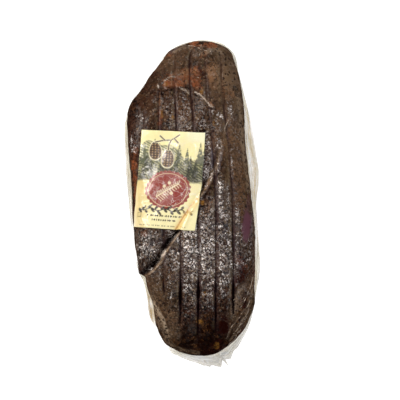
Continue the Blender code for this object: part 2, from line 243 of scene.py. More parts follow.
CLEFT = MM * np.array([
    (-59, -79), (-48, -72), (-39.5, -65.5), (-32.5, -57), (-29.5, -50), (-23.5, -41), (-14.5, -29),
    (-3.5, -8), (4, 4), (7, 8.5), (10, 13.5), (15, 22.5), (19.5, 31.5), (24.5, 44), (26, 54), (28.5, 64),
    (32.5, 80), (36, 87),
])
print("cleft is", round(1000 * float(np.hypot(*np.diff(CLEFT, axis=0).T).sum())), "mm long")


# %% Relief of the top
SLOPE_DEPTH, SLOPE_REACH, TRENCH_DEPTH, TRENCH_PLACE, TRENCH_WIDTH = 0.0050, 0.011, 0.0042, 0.0028, 0.0021
LIP_RISE, LIP_AT, LIP_HALF = 0.0017, -0.0007, 0.0014
LIP_BACK_RISE, LIP_BACK_AT, LIP_BACK_HALF = 0.0008, -0.004, 0.005


def cleft_relief(x, y, dip_share=1.0):
    """The flap sinks towards the cleft, the cleft is a narrow trench, and the body's lip stands up."""
    away, place = line_distance(x, y, CLEFT)
    deep = 1 - 0.55 * smooth_step(place, 0.30, 0.50) - 0.45 * smooth_step(place, 0.60, 0.95)
    slope = -SLOPE_DEPTH * np.exp(-np.abs(away) / SLOPE_REACH) * smooth_step(away, -0.0006, 0.0030)
    trench = -TRENCH_DEPTH * bell(away, TRENCH_PLACE, TRENCH_WIDTH)
    lip = LIP_RISE * bell(away, LIP_AT, LIP_HALF) + LIP_BACK_RISE * bell(away, LIP_BACK_AT, LIP_BACK_HALF)
    return deep * (dip_share * (slope + trench) + lip)


def lump_relief(x, y, pillow_share):
    """Slow lumps of the muscles, and a pillow between each two grooves."""
    height = sum(
        lump * np.sin(math.tau * x / across + shift) * np.cos(math.tau * y / along + 2 * shift)
        for lump, across, along, shift in LUMPS
    )
    phase = (x - groove_lean(y) - MIDDLE_GROOVE) / GROOVE_SPACING / groove_squeeze(y)
    return height + PILLOW * pillow_share * (np.abs(np.sin(math.pi * phase)) - 1)


def top_height(x, y, dip_share=1.0, pillow_share=1.0):
    """Height of the ham's top at a place in the drawing, without its grooves."""
    turn = turn_of(y)
    left, right = ham_edges(turn)
    centre, half = (left + right) / 2, np.maximum((right - left) / 2, 1e-6)
    share = np.clip((x - centre) / half, -1.0, 1.0)
    power = np.where(share < 0, LEFT_SHOULDER, RIGHT_SHOULDER)
    shoulder = (1 - np.abs(share) ** power) ** (1 / power)
    calm = np.minimum(1.0, shoulder * 1.5) * np.minimum(1.0, np.sin(turn) * 2)
    relief = lump_relief(x, y, pillow_share) + cleft_relief(x, y, dip_share) - CROWN * share**2
    return WIDEST_HEIGHT + top_rise(turn) * shoulder + calm * relief


print("top at the drawing's origin", round(1000 * float(top_height(np.zeros(1), np.zeros(1))[0]), 1), "mm")

# %% [markdown]
# ## Grooves that come and go
# The press bars marked the meat unevenly: the grooves are deep near the round end, in the middle of the right
# half and at the slim end, and faint elsewhere. Each groove gets its own depth along the ham from a slow
# noise and a few broad swells, which looks less like a machine than one depth for all.

# %% Grooves
GROOVE_DEPTH = 0.0018
GROOVE_WIDTH, SLOT_WIDTH = 0.00085, 0.00150
LIP_PLACE, LIP_WIDTH = 0.0019, 0.0010
RIDGE_PLACE, RIDGE_WIDTH = 0.0027, 0.0012


def groove_strength(number, along):
    """0 to 1.2: how deep a groove is at each place, from three swells and a slow noise of its own."""
    swell = 0.60 + 0.52 * smooth_step(-along, 0.064, 0.090) + 0.10 * smooth_step(along, 0.085, 0.120)
    swell = swell + 0.35 * smooth_step(number, 0.5, 1.5) * bell(along, -0.005, 0.055)
    end = 0.138 - 0.0085 * (number - 0.3) ** 2
    swell = swell * (1 - smooth_step(-along, end - 0.008, end + 0.002))
    return np.clip(swell * (0.85 + 0.40 * noise(along, 0 * along, number * 3.0, 0.022, 11)), 0.0, 1.25)


def groove_off(place, along):
    """Each point's groove number, and how far to its right side the point lies, with a slight wander."""
    number = np.round((place - MIDDLE_GROOVE) / GROOVE_SPACING)
    number = np.clip(number, -GROOVES_EACH_SIDE, GROOVES_EACH_SIDE)
    wander = 0.0005 * noise(along, 0 * along, number * 7.0, 0.030, 5)
    return number, place - MIDDLE_GROOVE - number * GROOVE_SPACING - wander


def groove_relief(place, along):
    """Three bells at each groove's line: how deep it sinks, its smooth right lip, and its tan left ridge."""
    number, off = groove_off(place, along)
    strength = groove_strength(number, along)
    slot = smooth_step(-along, 0.074, 0.088) * (1 - smooth_step(-along, 0.100, 0.118))
    ragged = 1 + 0.45 * slot * noise(along, off, number, 0.0035, 12)
    wide = np.maximum(slot, 0.6 * smooth_step(along, 0.080, 0.100))
    width = (GROOVE_WIDTH + (SLOT_WIDTH - GROOVE_WIDTH) * wide) * ragged
    lip = bell(off, LIP_PLACE, LIP_WIDTH, 4) * strength * (1 - 0.8 * smooth_step(-along, 0.070, 0.090))
    ridge = bell(off, -RIDGE_PLACE, RIDGE_WIDTH) * strength
    return bell(off, 0, width) * strength, lip, ridge


strengths = groove_strength(np.zeros(5), np.array([-0.12, -0.06, 0.0, 0.06, 0.12]))
print("strength along the middle groove", strengths.round(2).tolist())

# %% [markdown]
# ## The ham's mesh
# The columns of the mesh follow the grooves, so each groove is a clean valley and not a staircase across the
# squares. A row starts at the ham's left edge, goes over the top to the right edge and comes back
# underneath. The rows stand closer together near the two ends, where the form turns fastest.

# %% Grid of the ham
ROWS, ROW_EVENNESS = 330, 0.42
TOP_COLUMNS, CORNER_COLUMNS, UNDER_COLUMNS = 142, 26, 60
BAND_SHARE, BAND_SOFTNESS = 0.62, 10


def top_shares(turn, along, centre, half):
    """Places across the top, from -1 to 1: columns that follow the grooves, held back softly from the
    shoulders, and at both sides columns spaced by the shoulder's own curve. Also each column's place among
    the grooves, and how free of the holding back it is."""
    reach = (GROOVES_EACH_SIDE + BAND_SHARE) * GROOVE_SPACING
    place = MIDDLE_GROOVE + np.linspace(-reach, reach, TOP_COLUMNS)[None, :]
    squeezed = MIDDLE_GROOVE + (place - MIDDLE_GROOVE) * groove_squeeze(along)
    wanted = (squeezed + groove_lean(along) - centre) / half / SHOULDER_START
    crowding = 1 + np.abs(wanted) ** BAND_SOFTNESS
    held = SHOULDER_START * wanted / crowding ** (1 / BAND_SOFTNESS)
    even = SHOULDER_START * np.linspace(-1, 1, TOP_COLUMNS)[None, :]
    straight = smooth_step(half, CONVERGE_TO, CONVERGE_FROM)
    sides = []
    for power in (LEFT_SHOULDER, RIGHT_SHOULDER):
        angles = np.linspace(math.asin(SHOULDER_START ** (power / 2)), math.pi / 2, CORNER_COLUMNS + 1)[1:]
        sides.append(np.sin(angles) ** (2 / power) + 0 * turn)
    share = np.concatenate([-sides[0][:, ::-1], straight * held + (1 - straight) * even, sides[1]], axis=1)
    return share, place, crowding ** (-1.5) * straight


def underside(turn, centre, half):
    """The way back underneath: a superellipse pressed against the table. Gives its x and z."""
    angle = np.linspace(math.pi / 2, -math.pi / 2, UNDER_COLUMNS + 2)[None, 1:-1]
    share = np.sign(angle) * np.abs(np.sin(angle)) ** (2 / UNDER_CORNER)
    depth = WIDEST_HEIGHT * UNDERSIDE_PRESS * np.sin(turn) ** END_BLUNTNESS_UNDER
    return centre + half * share, np.maximum(0.0, WIDEST_HEIGHT - depth * np.cos(angle) ** (2 / UNDER_CORNER))


print("columns:", TOP_COLUMNS, "between the shoulders and", CORNER_COLUMNS, "on each shoulder")


# %% All rows of the ham
def ham_grid():
    """Points of all rows at once, with each one's groove depth, lip and ridge."""
    share_along = np.linspace(0.0, 1.0, ROWS + 1)[1:-1]
    turn = (math.pi * share_along + ROW_EVENNESS / 2 * np.sin(math.tau * share_along))[:, None]
    along = LENGTH_MIDDLE + HALF_LENGTH * np.cos(turn)
    left, right = ham_edges(turn)
    centre, half = (left + right) / 2, (right - left) / 2
    share, place, freedom = top_shares(turn, along, centre, half)
    top_x = centre + half * share
    under_x, under_z = underside(turn, centre, half)
    marks = np.zeros((3, ROWS - 1, top_x.shape[1] + UNDER_COLUMNS))
    spread = freedom * smooth_step(along, -0.139, -0.118)
    grooved = slice(CORNER_COLUMNS, CORNER_COLUMNS + TOP_COLUMNS)
    marks[:, :, grooved] = groove_relief(place + 0 * along, along + 0 * place) * spread
    top_z = top_height(top_x, along + 0 * top_x) - GROOVE_DEPTH * marks[0, :, :top_x.shape[1]]
    x = np.concatenate([top_x, under_x], axis=1)
    return np.stack([x, along + 0 * x, np.concatenate([top_z, under_z], axis=1)], axis=2), marks


grid, (groove_map, stripe_map, ridge_map) = ham_grid()
print("ham grid", grid.shape)


# %% Fine relief along the surface's own direction
ROUGHNESSES = ((0.00070, 0.014), (0.00032, 0.005), (0.00014, 0.0024))


def normals_of(points):
    """Outward direction at each point of a grid whose columns close on themselves."""
    across = np.roll(points, -1, axis=1) - np.roll(points, 1, axis=1)
    down = np.gradient(points, axis=0)
    normal = np.cross(down, across)
    return normal / np.maximum(np.linalg.norm(normal, axis=2, keepdims=True), 1e-12)


def roughened(points):
    """Pushes points out and in by noises of 14, 5 and 2.4 mm, but not where the ham rests on the table."""
    x, y, z = (points[:, :, k] for k in range(3))
    push = 0.0
    for seed, (height, size) in enumerate(ROUGHNESSES, start=21):
        push = push + height * noise(x, y, z, size, seed)
    moved = points + (push * smooth_step(z, 0.0, 0.008))[:, :, None] * normals_of(points)
    moved[:, :, 2] = np.maximum(moved[:, :, 2], 0.0)
    return moved


surface = roughened(grid)
print("ham spans", [round(1000 * float(np.ptp(surface[:, :, k])), 1) for k in range(3)], "mm")


# %% Meshes from grids
def mesh_piece(name, points, faces, materials=()):
    """A smooth-shaded mesh object of these points, in the frame, with its place in its mesh."""
    mesh = bpy.data.meshes.new(name)
    mesh.from_pydata((np.asarray(points) + np.array(SHIFT)).tolist(), [], faces)
    mesh.validate()
    mesh.shade_smooth()
    piece = bpy.data.objects.new(name, mesh)
    bpy.context.scene.collection.objects.link(piece)
    for look in materials:
        mesh.materials.append(look)
    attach(piece, "root")
    return piece


def store(piece, name, values):
    """Keeps one number for each point on the piece, for its material to read."""
    made = piece.data.attributes.new(name, "FLOAT", "POINT")
    made.data.foreach_set("value", np.asarray(values, np.float32).ravel())


def tube_faces(rows, columns):
    """Squares of a closed tube, and a fan of triangles onto a tip point at each end."""
    j = np.arange(columns)
    after = (j + 1) % columns
    i = np.arange(rows - 1)[:, None] * columns
    squares = np.stack([i + j, i + columns + j, i + columns + after, i + after], axis=2).reshape(-1, 4)
    first, last = rows * columns, rows * columns + 1
    start = (rows - 1) * columns
    fans = [(first, int(a), int(b)) for a, b in zip(j, after)]
    fans += [(last, int(start + b), int(start + a)) for a, b in zip(j, after)]
    return squares.tolist() + fans


rows, columns = surface.shape[:2]
tips = np.array([(PLAN[0][1], SLIM_END, WIDEST_HEIGHT), (PLAN[-1][1], ROUND_END, WIDEST_HEIGHT)])
ham = mesh_piece("ham_under_film", np.vstack([surface.reshape(-1, 3), tips]), tube_faces(rows, columns))
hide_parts("ham")
print("ham mesh", len(ham.data.vertices), "points")

# %% [markdown]
# ## What the meat shows through the film
# The crust is nearly black-brown. The film clings to it in the middle of the top, where it is wet and full
# of pin-sharp wrinkles, and stands off in a hazy skin over both ends and the right flank. Rust-coloured
# rind, ochre fat and wine-red muscle show in a few places. All of this could be painted by hand; here each
# is a soft-edged patch with a place, a size and a turn, kept on the points as a number from 0 to 1.

# %% Soft patches
def patch(x, y, centre, across, along, turned, edge, rough, seed):
    """1 inside an ellipse and 0 outside, with a soft edge that a 6 mm noise makes ragged. Sizes in mm."""
    dx, dy = x - centre[0] * MM, y - centre[1] * MM
    c, s = math.cos(math.radians(turned)), math.sin(math.radians(turned))
    reach = np.hypot((dx * c + dy * s) / (across * MM), (dy * c - dx * s) / (along * MM))
    reach = reach + rough * (flat_noise(x, y, 0.006, seed) + 0.6 * flat_noise(x, y, 0.0026, seed + 1))
    return 1 - smooth_step(reach, 1 - edge, 1 + edge * 0.6)


def painted(x, y, patches, edge=0.55, rough=0.35):
    """The strongest of several patches at each point. A patch is its place x and y, its half width and its
    half length, all in mm, its turn in degrees, and its strength."""
    made = np.zeros(np.shape(x))
    for k, (px, py, across, along, turned, strength) in enumerate(patches):
        spot = patch(x, y, (px, py), across, along, turned, edge, rough, 31 + 7 * k)
        made = np.maximum(made, strength * spot)
    return made


x, y, z = (surface[:, :, k] for k in range(3))
outward = normals_of(surface)
away, place_along = line_distance(x, y, CLEFT)
print("points that look up:", round(100 * float((outward[:, :, 2] > 0.5).mean())), "%")

# %% Rind, fat and warm browns: softness of the edge, raggedness, and patches
SPOTS = {
    "rust": (0.55, 0.6, (
        (-14, 119, 13, 4.4, 8, 0.95), (-25, 117, 5, 4.5, 0, 0.9), (-5, 125, 9, 4, 14, 0.7),
        (-6, 131, 10, 4, 10, 0.5), (3, 128, 7, 7, 30, 0.55), (-15, 124, 14, 5, 8, 0.45),
        (2, 118, 5, 4.5, 0, 0.75), (0, 158, 4, 6, 0, 0.9), (15, 157, 8, 3, -8, 0.8),
        (-24, 148, 5, 3, 25, 0.55), (-34, 84, 2.2, 8, 0, 0.5), (9, 147, 4, 4, 0, 0.6),
        (-60, 37, 2.6, 6, 0, 1.0), (45, -58, 3, 6, 0, 0.25), (-58, 12, 2.4, 20, 3, 0.85),
        (-57, 50, 3, 6, 0, 0.4), (-49.6, -29.4, 4, 3, 20, 0.3), (-33, -50, 3.5, 2.5, 30, 0.5),
        (50, -64, 2.4, 8, -4, 0.25), (47, -100, 2, 6, 8, 0.35),
    )),
    "tan": (0.55, 0.35, (
        (17, 129, 7, 13, 6, 0.9), (27, 118, 9, 20, 10, 0.45), (16.5, 97.5, 2.6, 2.2, -40, 0.9),
        (-8, 129, 13, 4.5, 10, 0.7), (31, 115, 3, 17, 48, 0.75), (-34.4, 102, 1.1, 11, 0, 0.8),
        (13, 18, 1.8, 6, -30, 0.7), (14, -4, 2.2, 9, -25, 0.5), (-13, 119, 14, 2.4, 10, 0.4),
        (-33.6, -46.5, 2.4, 3, -30, 0.9), (-10.8, -37, 0.9, 9, 0, 0.6), (33, 80, 1.2, 5, 20, 0.6),
        (19, 62, 5, 16, 0, 0.35),
    )),
    "ochre": (0.4, 0.35, (
        (-21.5, 85, 1.8, 2.6, 0, 0.9), (-32.5, 88, 2.2, 5, 0, 0.75), (7.6, 112, 2, 3.2, -10, 0.6),
        (18.8, 78.7, 1.6, 3.6, 0, 0.75), (7.6, 0.6, 1.8, 2.2, 0, 0.8), (11, 15, 1.1, 2.4, -30, 0.5),
        (10.5, -89, 2.4, 2, 20, 0.75), (5.5, -116.5, 3.0, 2.4, 0, 0.95), (22, -141, 2.4, 3.4, 0, 0.5),
        (-14, -86, 1.6, 1.4, 0, 0.5), (-28, 118, 3, 2, 0, 0.4),
    )),
    "russet": (0.8, 0.35, (
        (-50, 96, 17, 32, -30, 0.6), (-61, 62, 8, 34, 0, 0.55), (-18, 100, 16, 14, 0, 0.45),
        (12, 44, 8, 26, -8, 0.4), (-28, 140, 16, 20, -38, 0.6), (48, -66, 8, 24, 0, 0.5),
        (26, -100, 14, 20, 0, 0.45), (-4, -112, 20, 12, 0, 0.4),
    )),
    "umber": (0.8, 0.35, (
        (44, 30, 8, 52, 4, 0.7), (34, 62, 9, 26, 8, 0.7), (24, 74, 6, 16, 0, 0.5), (46, -10, 5, 22, 0, 0.5),
        (-26, -70, 12, 16, 0, 0.3), (-6, 92, 26, 18, 0, 0.35), (-33, -104, 11, 30, 24, 0.55),
        (46, -104, 9, 26, -18, 0.55),
    )),
    "olive": (0.7, 0.35, (
        (35.4, -45, 2.4, 46, 1, 0.9), (31.5, 22, 2.2, 34, 0, 0.7), (8, -50, 4, 12, 0, 0.3),
        (-14, -60, 3, 14, 0, 0.35), (21, 135, 3, 5, 0, 0.35), (41, 50, 5, 26, 4, 0.5),
        (54, -58, 4, 20, 0, 0.7), (-34, -92, 14, 14, 0, 0.6), (24, -104, 6, 14, 0, 0.4),
        (-22, -134, 12, 8, -38, 0.6),
    )),
}
print(sum(len(patches) for _, _, patches in SPOTS.values()), "patches of rind, fat and brown")

# %% Bluish, red and dark places
DEEP_SPOTS = {
    "slate": (0.6, 0.25, (
        (17, 44, 1.6, 15, 0, 0.9), (25.5, 42, 1.4, 12, -8, 0.6), (31.5, 72, 1.2, 14, 8, 0.5),
        (57, -20, 1.6, 20, -3, 0.45), (-44, -40, 6, 7, -20, 0.3), (-20, 152, 5, 3, 40, 0.4),
    )),
    "wine": (0.35, 0.22, (
        (51.5, -21.5, 4.6, 17, -4, 1.0), (53.5, 2, 2, 9, 0, 0.3),
    )),
    "dark_red": (0.55, 0.35, (
        (44.5, -54, 2, 3, 0, 0.8), (48, -68, 4, 13, 0, 1.0), (50, -98, 3.4, 11, 8, 1.0),
        (43, -76, 3, 6, -30, 0.8), (46, -118, 2.4, 8, 18, 0.7), (28.5, -121.5, 6.4, 10, 0, 1.3),
        (10, -147, 12, 3, 0, 0.3), (8, 128, 2.4, 10, 30, 0.9), (4, -104, 12, 6, 0, 0.3),
        (22, -141, 7, 6, 0, 0.6), (12, -90, 8, 8, 0, 0.35), (-2, 148, 3, 8, 0, 0.4),
    )),
    "dark": (0.9, 0.35, (
        (6, -143, 38, 17, 0, 1.7), (-66, 60, 10, 42, 6, 0.75), (-54, 98, 12, 26, -32, 0.8),
        (18, -124, 20, 18, 0, 1.1), (-44, 122, 8, 22, -38, 0.7), (-2, -124, 14, 10, 0, 0.7),
        (41, -75, 6, 10, -30, 0.8), (-42, 112, 9, 9, 0, 0.5), (31, 92, 3, 22, 6, 0.4),
        (22, 40, 4, 22, -12, 0.35), (-29, -75, 3, 10, 0, 0.5), (28.5, -121.5, 6.4, 10, 0, 1.0),
    )),
}
DARK_REDS = DEEP_SPOTS["dark_red"][2]
RED_STREAKS, BARE_PATCH, RED_IN_RIND = DARK_REDS[2:5], DARK_REDS[5:6], DARK_REDS[7:8]
print(sum(len(patches) for _, _, patches in DEEP_SPOTS.values()), "dark patches")

# %% Film that clings or hazes, painted glints, and crust that is pitted
FILM_SPOTS = {
    "cling": (0.9, 0.35, (
        (8, -50, 42, 50, 6, 1.0), (-43, -46, 15, 24, 0, 0.85), (-6, 86, 26, 16, 0, 0.50),
        (25.5, 4, 4.6, 32, 0, 1.0), (33, -6, 3, 30, 2, 0.75), (8, 34, 6, 30, -10, 0.8),
        (20, 62, 7, 24, 0, 0.55), (13, 46, 5, 30, 0, 0.8), (35, 92, 4, 10, 10, 0.6),
        (41, 60, 7, 40, 6, 0.28), (22, 66, 5, 20, 0, 0.7), (-6, -104, 16, 12, 0, 0.3),
        (-53.6, 86, 5.5, 6, 0, 0.8), (-39.3, 102, 1.8, 4, 0, 0.7), (-23, 94, 6, 13, 0, 0.5),
        (25.4, 86.5, 2.2, 3.2, 20, 1.6), (-47, -36, 7, 8, -20, 1.2), (-14, -72, 26, 20, 0, 0.65),
        (-4, 108, 26, 9, 8, 0.25), (-60, 52, 4, 5, 0, 1.1), (36.8, 36, 1.4, 20, 2, 0.9),
        (-42, 66, 40, 3, 0, 0.3), (-62, 62, 3, 8, 0, 1.0), (-22, 78, 6, 5, 0, 0.9), (25, -1, 3, 5, 0, 1.5),
        (41, -16, 4, 14, 0, 1.2), (25, -4, 4, 8, 0, 1.4), (1.6, -88, 5, 5, 0, 0.9),
    )),
    # The haze is film that stands off the meat; its patch at x -32, y -104 is also a painted sheen of smooth
    # film
    "haze": (0.9, 0.35, (
        (33, 128, 20, 36, 8, 0.95), (32, 58, 15, 50, 4, 0.50), (-22, 140, 26, 22, 40, 0.45),
        (61, -30, 5, 120, 3, 0.30), (-32, -104, 13, 32, 24, 0.88), (46, -102, 13, 28, -20, 0.80),
        (-44, 92, 10, 16, 0, 0.20), (-6, 148, 16, 10, 0, 0.4),
    )),
    "pitted": (0.9, 0.35, (
        (-44, -44, 13, 22, 0, 1.0), (53, -68, 8, 30, 0, 0.8), (-31, -104, 11, 28, 24, 0.75),
    )),
    # The glints are painted highlights of the film: on the cleft's lip, beside the label and towards the slim
    # end
    "glint": (0.35, 0.45, (
        (-31, -50.5, 1.5, 5, -30, 1.0), (-36, -54.6, 1.2, 1.5, 0, 0.75), (16.2, 96.4, 1.6, 1.0, -40, 0.45),
        (-17.2, -32.6, 1, 4, -38, 0.5), (-36, 115.5, 0.9, 1.5, 10, 0.7), (17, -6, 1.2, 3, -30, 0.5),
    )),
}
spots = {name: painted(x, y, patches, edge, rough)
         for name, (edge, rough, patches) in {**SPOTS, **DEEP_SPOTS, **FILM_SPOTS}.items()}
print("painted", ", ".join(spots))

# %% [markdown]
# ## Painted sheen, light and shade of the film's folds
# Where the film spans from one fold of the meat to the next it lies smooth and grey-brown: its sheen is
# painted as a pale veil, the light on the fold as a pale crest on top, and its shade as a dark valley beside
# it. These run along lines, so they are soft lines instead of patches: each has a width, a strength and a few
# places that it passes.

# %% Soft lines
def streaked(x, y, lines):
    """The strongest of several soft lines at each point: half width in mm, strength, and places in mm."""
    made = np.zeros(np.shape(x))
    for k, (width, strength, line) in enumerate(lines):
        off, _ = line_distance(x, y, MM * np.array(line, float))
        reach = np.abs(off) / (width * MM) + 0.30 * flat_noise(x, y, 0.005, 301 + k)
        made = np.maximum(made, strength * (1 - smooth_step(reach, 0.45, 1.35)))
    return made


SHEEN_VEILS = (
    (2.2, 0.85, [(-30, -136), (-22, -142.5), (-10, -146.5), (4, -148.5)]),
    (9.0, 0.30, [(-38, -88), (-33, -100), (-28, -114), (-22, -128)]),
    (2.6, 1.3, [(-42, -93), (-40.5, -98), (-37.5, -105), (-34.5, -112), (-30, -122), (-26, -132)]),
    (2.0, 0.8, [(-36, -118), (-32, -126), (-25, -137), (-16, -145)]),
    (4.2, 0.7, [(46, -84), (41, -94), (39, -104), (37, -112)]),
    (1.4, 0.8, [(58, -74), (56, -94), (51, -110), (44, -123), (36, -136)]),
    (1.2, 0.5, [(49, -106), (42, -114), (36, -124), (33, -134)]),
    (1.2, 0.7, [(46, -99), (40, -107), (35, -114)]),
    (1.6, 0.65, [(-21, 150), (-13, 153.5), (-6, 154.5), (0, 152)]),
    (1.0, 0.7, [(0, 152), (6, 149), (10, 142)]), (2.2, 1.0, [(9, 148), (15, 152), (21, 153), (26, 150)]),
    (2.4, 1.0, [(44, 104), (47, 74), (50, 44), (54, 12)]),
)
VALLEY_SHADE = (
    (1.4, 1.0, [(-45, -100), (-42.5, -108), (-38, -119), (-33, -130)]),
    (1.5, 1.0, [(-35, -100), (-31.3, -108), (-28, -116), (-25.6, -124)]),
    (1.4, 0.7, [(-27, -132), (-20, -138), (-4, -143)]),
    (1.5, 0.8, [(9, 5), (13, 11), (18, 19), (22, 27), (26, 33), (28, 42)]),
    (1.3, 0.7, [(4, 12), (9, 20), (14, 28), (18, 34)]), (3.2, 1.0, [(50, -68), (44, -78), (39, -87)]),
    (1.8, 0.8, [(31, -90), (30, -110), (27, -124)]),
    (1.6, 0.8, [(53, -88), (49, -102), (43, -116), (33, -131), (22, -144)]),
    (1.6, 0.8, [(-36, -84), (-30, -96), (-27, -104)]), (1.2, 0.6, [(-4.6, 150), (-4.4, 140), (-3.4, 132)]),
    (0.8, 0.5, [(-19.4, 148), (-18.9, 131)]), (1.3, 0.9, [(28, 116), (29.4, 106), (30.2, 96)]),
    (0.8, 0.5, [(26.3, 138), (27, 126), (28, 116)]), (1.0, 0.6, [(13.6, 118), (14.4, 110), (15.4, 101)]),
    (0.9, 0.5, [(-3.3, 114), (-3, 98), (-2.4, 80)]), (1.4, 1.0, [(-31.4, -73), (-31, -89)]),
    (1.1, 0.5, [(28, 42), (30, 54), (33, 66), (36, 76)]), (1.0, 0.7, [(48, -85), (43, -93), (36, -101)]),
    (1.0, 0.8, [(50, -101), (43, -110), (37, -119)]),
)
CREST_HIGHLIGHTS = (
    (2.0, 1.0, [(-41, -99), (-38, -103.5), (-35.2, -108), (-31.8, -114), (-29.7, -120), (-27.5, -126)]),
    (1.6, 0.5, [(45, -86), (41, -95), (38.5, -104), (37, -112)]),
)
# Painted highlights along the film's creases at the slim end
GLINT_LINES = (
    (0.7, 0.9, [(0, 110), (5, 107.5), (10, 103), (15, 97)]), (0.5, 0.5, [(-15, 114), (-9, 112), (-5, 109)]),
    (0.6, 0.6, [(-30, 121), (-25, 124.5), (-19, 125)]),
)
FOLDS = (
    (1.9, 0.9, [(11, 16), (15, 22), (18, 28), (22, 34), (25, 44), (27, 54)]),
)
print(len(SHEEN_VEILS), "veils,", len(VALLEY_SHADE), "valley_shade")

# %% [markdown]
# ## From patches to the numbers that the material reads
# A patch on its own doesn't know the form of the ham. The painted shade in the cleft follows the cleft, the
# pale lip with its painted highlight lies beside it, the painted sparkle keeps to what faces up, and nothing
# is painted underneath. Each result is stored on the points under its own name.

# %% Numbers kept on the ham
upper = smooth_step(z, 0.010, 0.030) * (0.20 + 0.80 * smooth_step(outward[:, :, 2], 0.02, 0.34))
faces_up = smooth_step(outward[:, :, 2], 0.62, 0.93)
slim = smooth_step(y, 0.085, 0.105)
stripe_map = stripe_map * (1 - 0.7 * slim)
valley_shade, bare = streaked(x, y, VALLEY_SHADE), painted(x, y, BARE_PATCH)
cling = np.maximum(spots["cling"], streaked(x, y, FOLDS))
cling = cling * (1 - 0.85 * np.minimum(1, stripe_map + 1.3 * groove_map))
# The painted shade of the valleys darkens the dark places too
dark = np.minimum(1.0, np.maximum(spots["dark"], valley_shade))
broad = 1 - smooth_step(place_along, 0.25, 0.45)
# Painted shade in the cleft's trench: broad at its lower end, and fading out halfway along
cleft_shade = bell(away, 0.0034 + 0.0010 * broad, 0.0024 + 0.0014 * broad, 4)
cleft_shade = cleft_shade * (1 - 0.85 * smooth_step(place_along, 0.42, 0.60))
past_label = smooth_step(place_along, 0.50, 0.60)
lip_left = 1 - past_label * (0.68 + 0.28 * flat_noise(x, y, 0.005, 71))
lip_left = lip_left * (1 - 0.5 * smooth_step(place_along, 0.69, 0.80))
calm_end = 1 - 0.6 * smooth_step(y, 0.118, 0.140)
film_weight = calm_end * (0.30 - 0.12 * faces_up + 0.50 * faces_up * cling)
film_weight = film_weight * (1 - 0.92 * dark) * (1 - 0.9 * cleft_shade)
red_streaks = painted(x, y, RED_STREAKS)
maps = {
    **spots, "dark": dark, "cling": cling, "bare": bare, "side": 1 - faces_up, "cleft_shade": cleft_shade,
    # Painted highlights on the crests of folds, and painted sheen of smooth film in the veils
    "crest": streaked(x, y, CREST_HIGHLIGHTS), "veil": streaked(x, y, SHEEN_VEILS),
    "rust": spots["rust"] * (1 - 0.9 * painted(x, y, RED_IN_RIND)),
    "pitted": np.maximum(smooth_step(-y, 0.062, 0.100), spots["pitted"]),
    "haze": spots["haze"] * (1 - 0.85 * np.maximum(bare, valley_shade)) * (1 - 0.8 * red_streaks),
    # Painted highlights, as patches and along lines
    "glint": np.maximum(spots["glint"], streaked(x, y, GLINT_LINES)),
    "groove": np.minimum(1.0, groove_map) * (1 - 0.35 * slim),
    # Partly the meat's own purple-grey, partly painted light on each groove's lit right wall
    "stripe": np.minimum(1.0, stripe_map) * (0.35 + 0.65 * faces_up),
    "ridge": np.minimum(1.0, ridge_map) * (1 - 0.7 * smooth_step(-y, 0.085, 0.110)),
    "film": film_weight * (1 - 0.9 * np.minimum(1, 1.3 * groove_map + 0.8 * stripe_map)),
    # The lip is a pale tan band: partly the fat edge's own colour, partly a painted highlight on its lit side
    "lip": bell(away, 0, 0.00075 + 0.0010 * past_label) * lip_left,
}
for name, numbers in maps.items():
    if name not in ("film", "side"):
        numbers = numbers * upper
    store(ham, name, np.concatenate([numbers.ravel(), [0.0, 0.0]]))
    print(f"{name:9s} covers {100 * float((numbers > 0.3).mean()):.1f} % of the points")

# %% [markdown]
# ## One small function for nodes
# A material is a tree of nodes. Each could be added and joined by hand, which takes four lines a node. Here a
# table says for each kind what Blender calls it, its usual settings, the inputs that its values go to and
# the output that is wanted, so that one function can add them all.

# %% The table of nodes
ARITHMETIC = {
    "times": "MULTIPLY", "plus": "ADD", "less": "SUBTRACT", "larger": "MAXIMUM", "unsigned": "ABSOLUTE",
}
KINDS = {
    "place": ("TexCoord", {}, (), "Object"),
    "kept": ("Attribute", {}, (), "Fac"),
    "kept colour": ("Attribute", {}, (), "Color"),
    "grain": ("TexNoise", {}, ("Vector", "Scale", "Detail", "Distortion", "Roughness"), "Fac"),
    "grain colour": ("TexNoise", {}, ("Vector", "Scale", "Detail"), "Color"),
    "cells": ("TexVoronoi", {}, ("Vector", "Scale"), "Color"),
    "cell edges": ("TexVoronoi", {"feature": "DISTANCE_TO_EDGE"}, ("Vector", "Scale"), "Distance"),
    "red of": ("SeparateColor", {}, (0,), 0),
    "range": ("MapRange", {"interpolation_type": "SMOOTHSTEP"},
              ("Value", "From Min", "From Max", "To Min", "To Max"), 0),
    "mix": ("Mix", {"data_type": "RGBA", "clamp_factor": True}, (0, 6, 7), 2),
    "number mix": ("Mix", {"data_type": "FLOAT"}, (0, 2, 3), 0),
    "place times": ("VectorMath", {"operation": "MULTIPLY"}, (0, 1), 0),
    "place plus": ("VectorMath", {"operation": "ADD"}, (0, 1), 0),
    "new place": ("CombineXYZ", {}, ("X", "Y"), 0),
    "bump": ("Bump", {}, ("Height", "Strength", "Distance"), 0),
    "facing": ("LayerWeight", {}, ("Blend",), "Facing"),
    **{name: ("Math", {"operation": operation}, (0, 1), 0) for name, operation in ARITHMETIC.items()},
}


print(len(KINDS), "kinds of node")


# %% The one function for nodes, and a fresh material
def fill(node, inputs):
    """Gives each input its value: a socket is joined, and a hex colour is turned to linear."""
    for name, value in inputs.items():
        if isinstance(value, bpy.types.NodeSocket):
            node.id_data.links.new(value, node.inputs[name])
        else:
            node.inputs[name].default_value = linear(value) if isinstance(value, str) else value


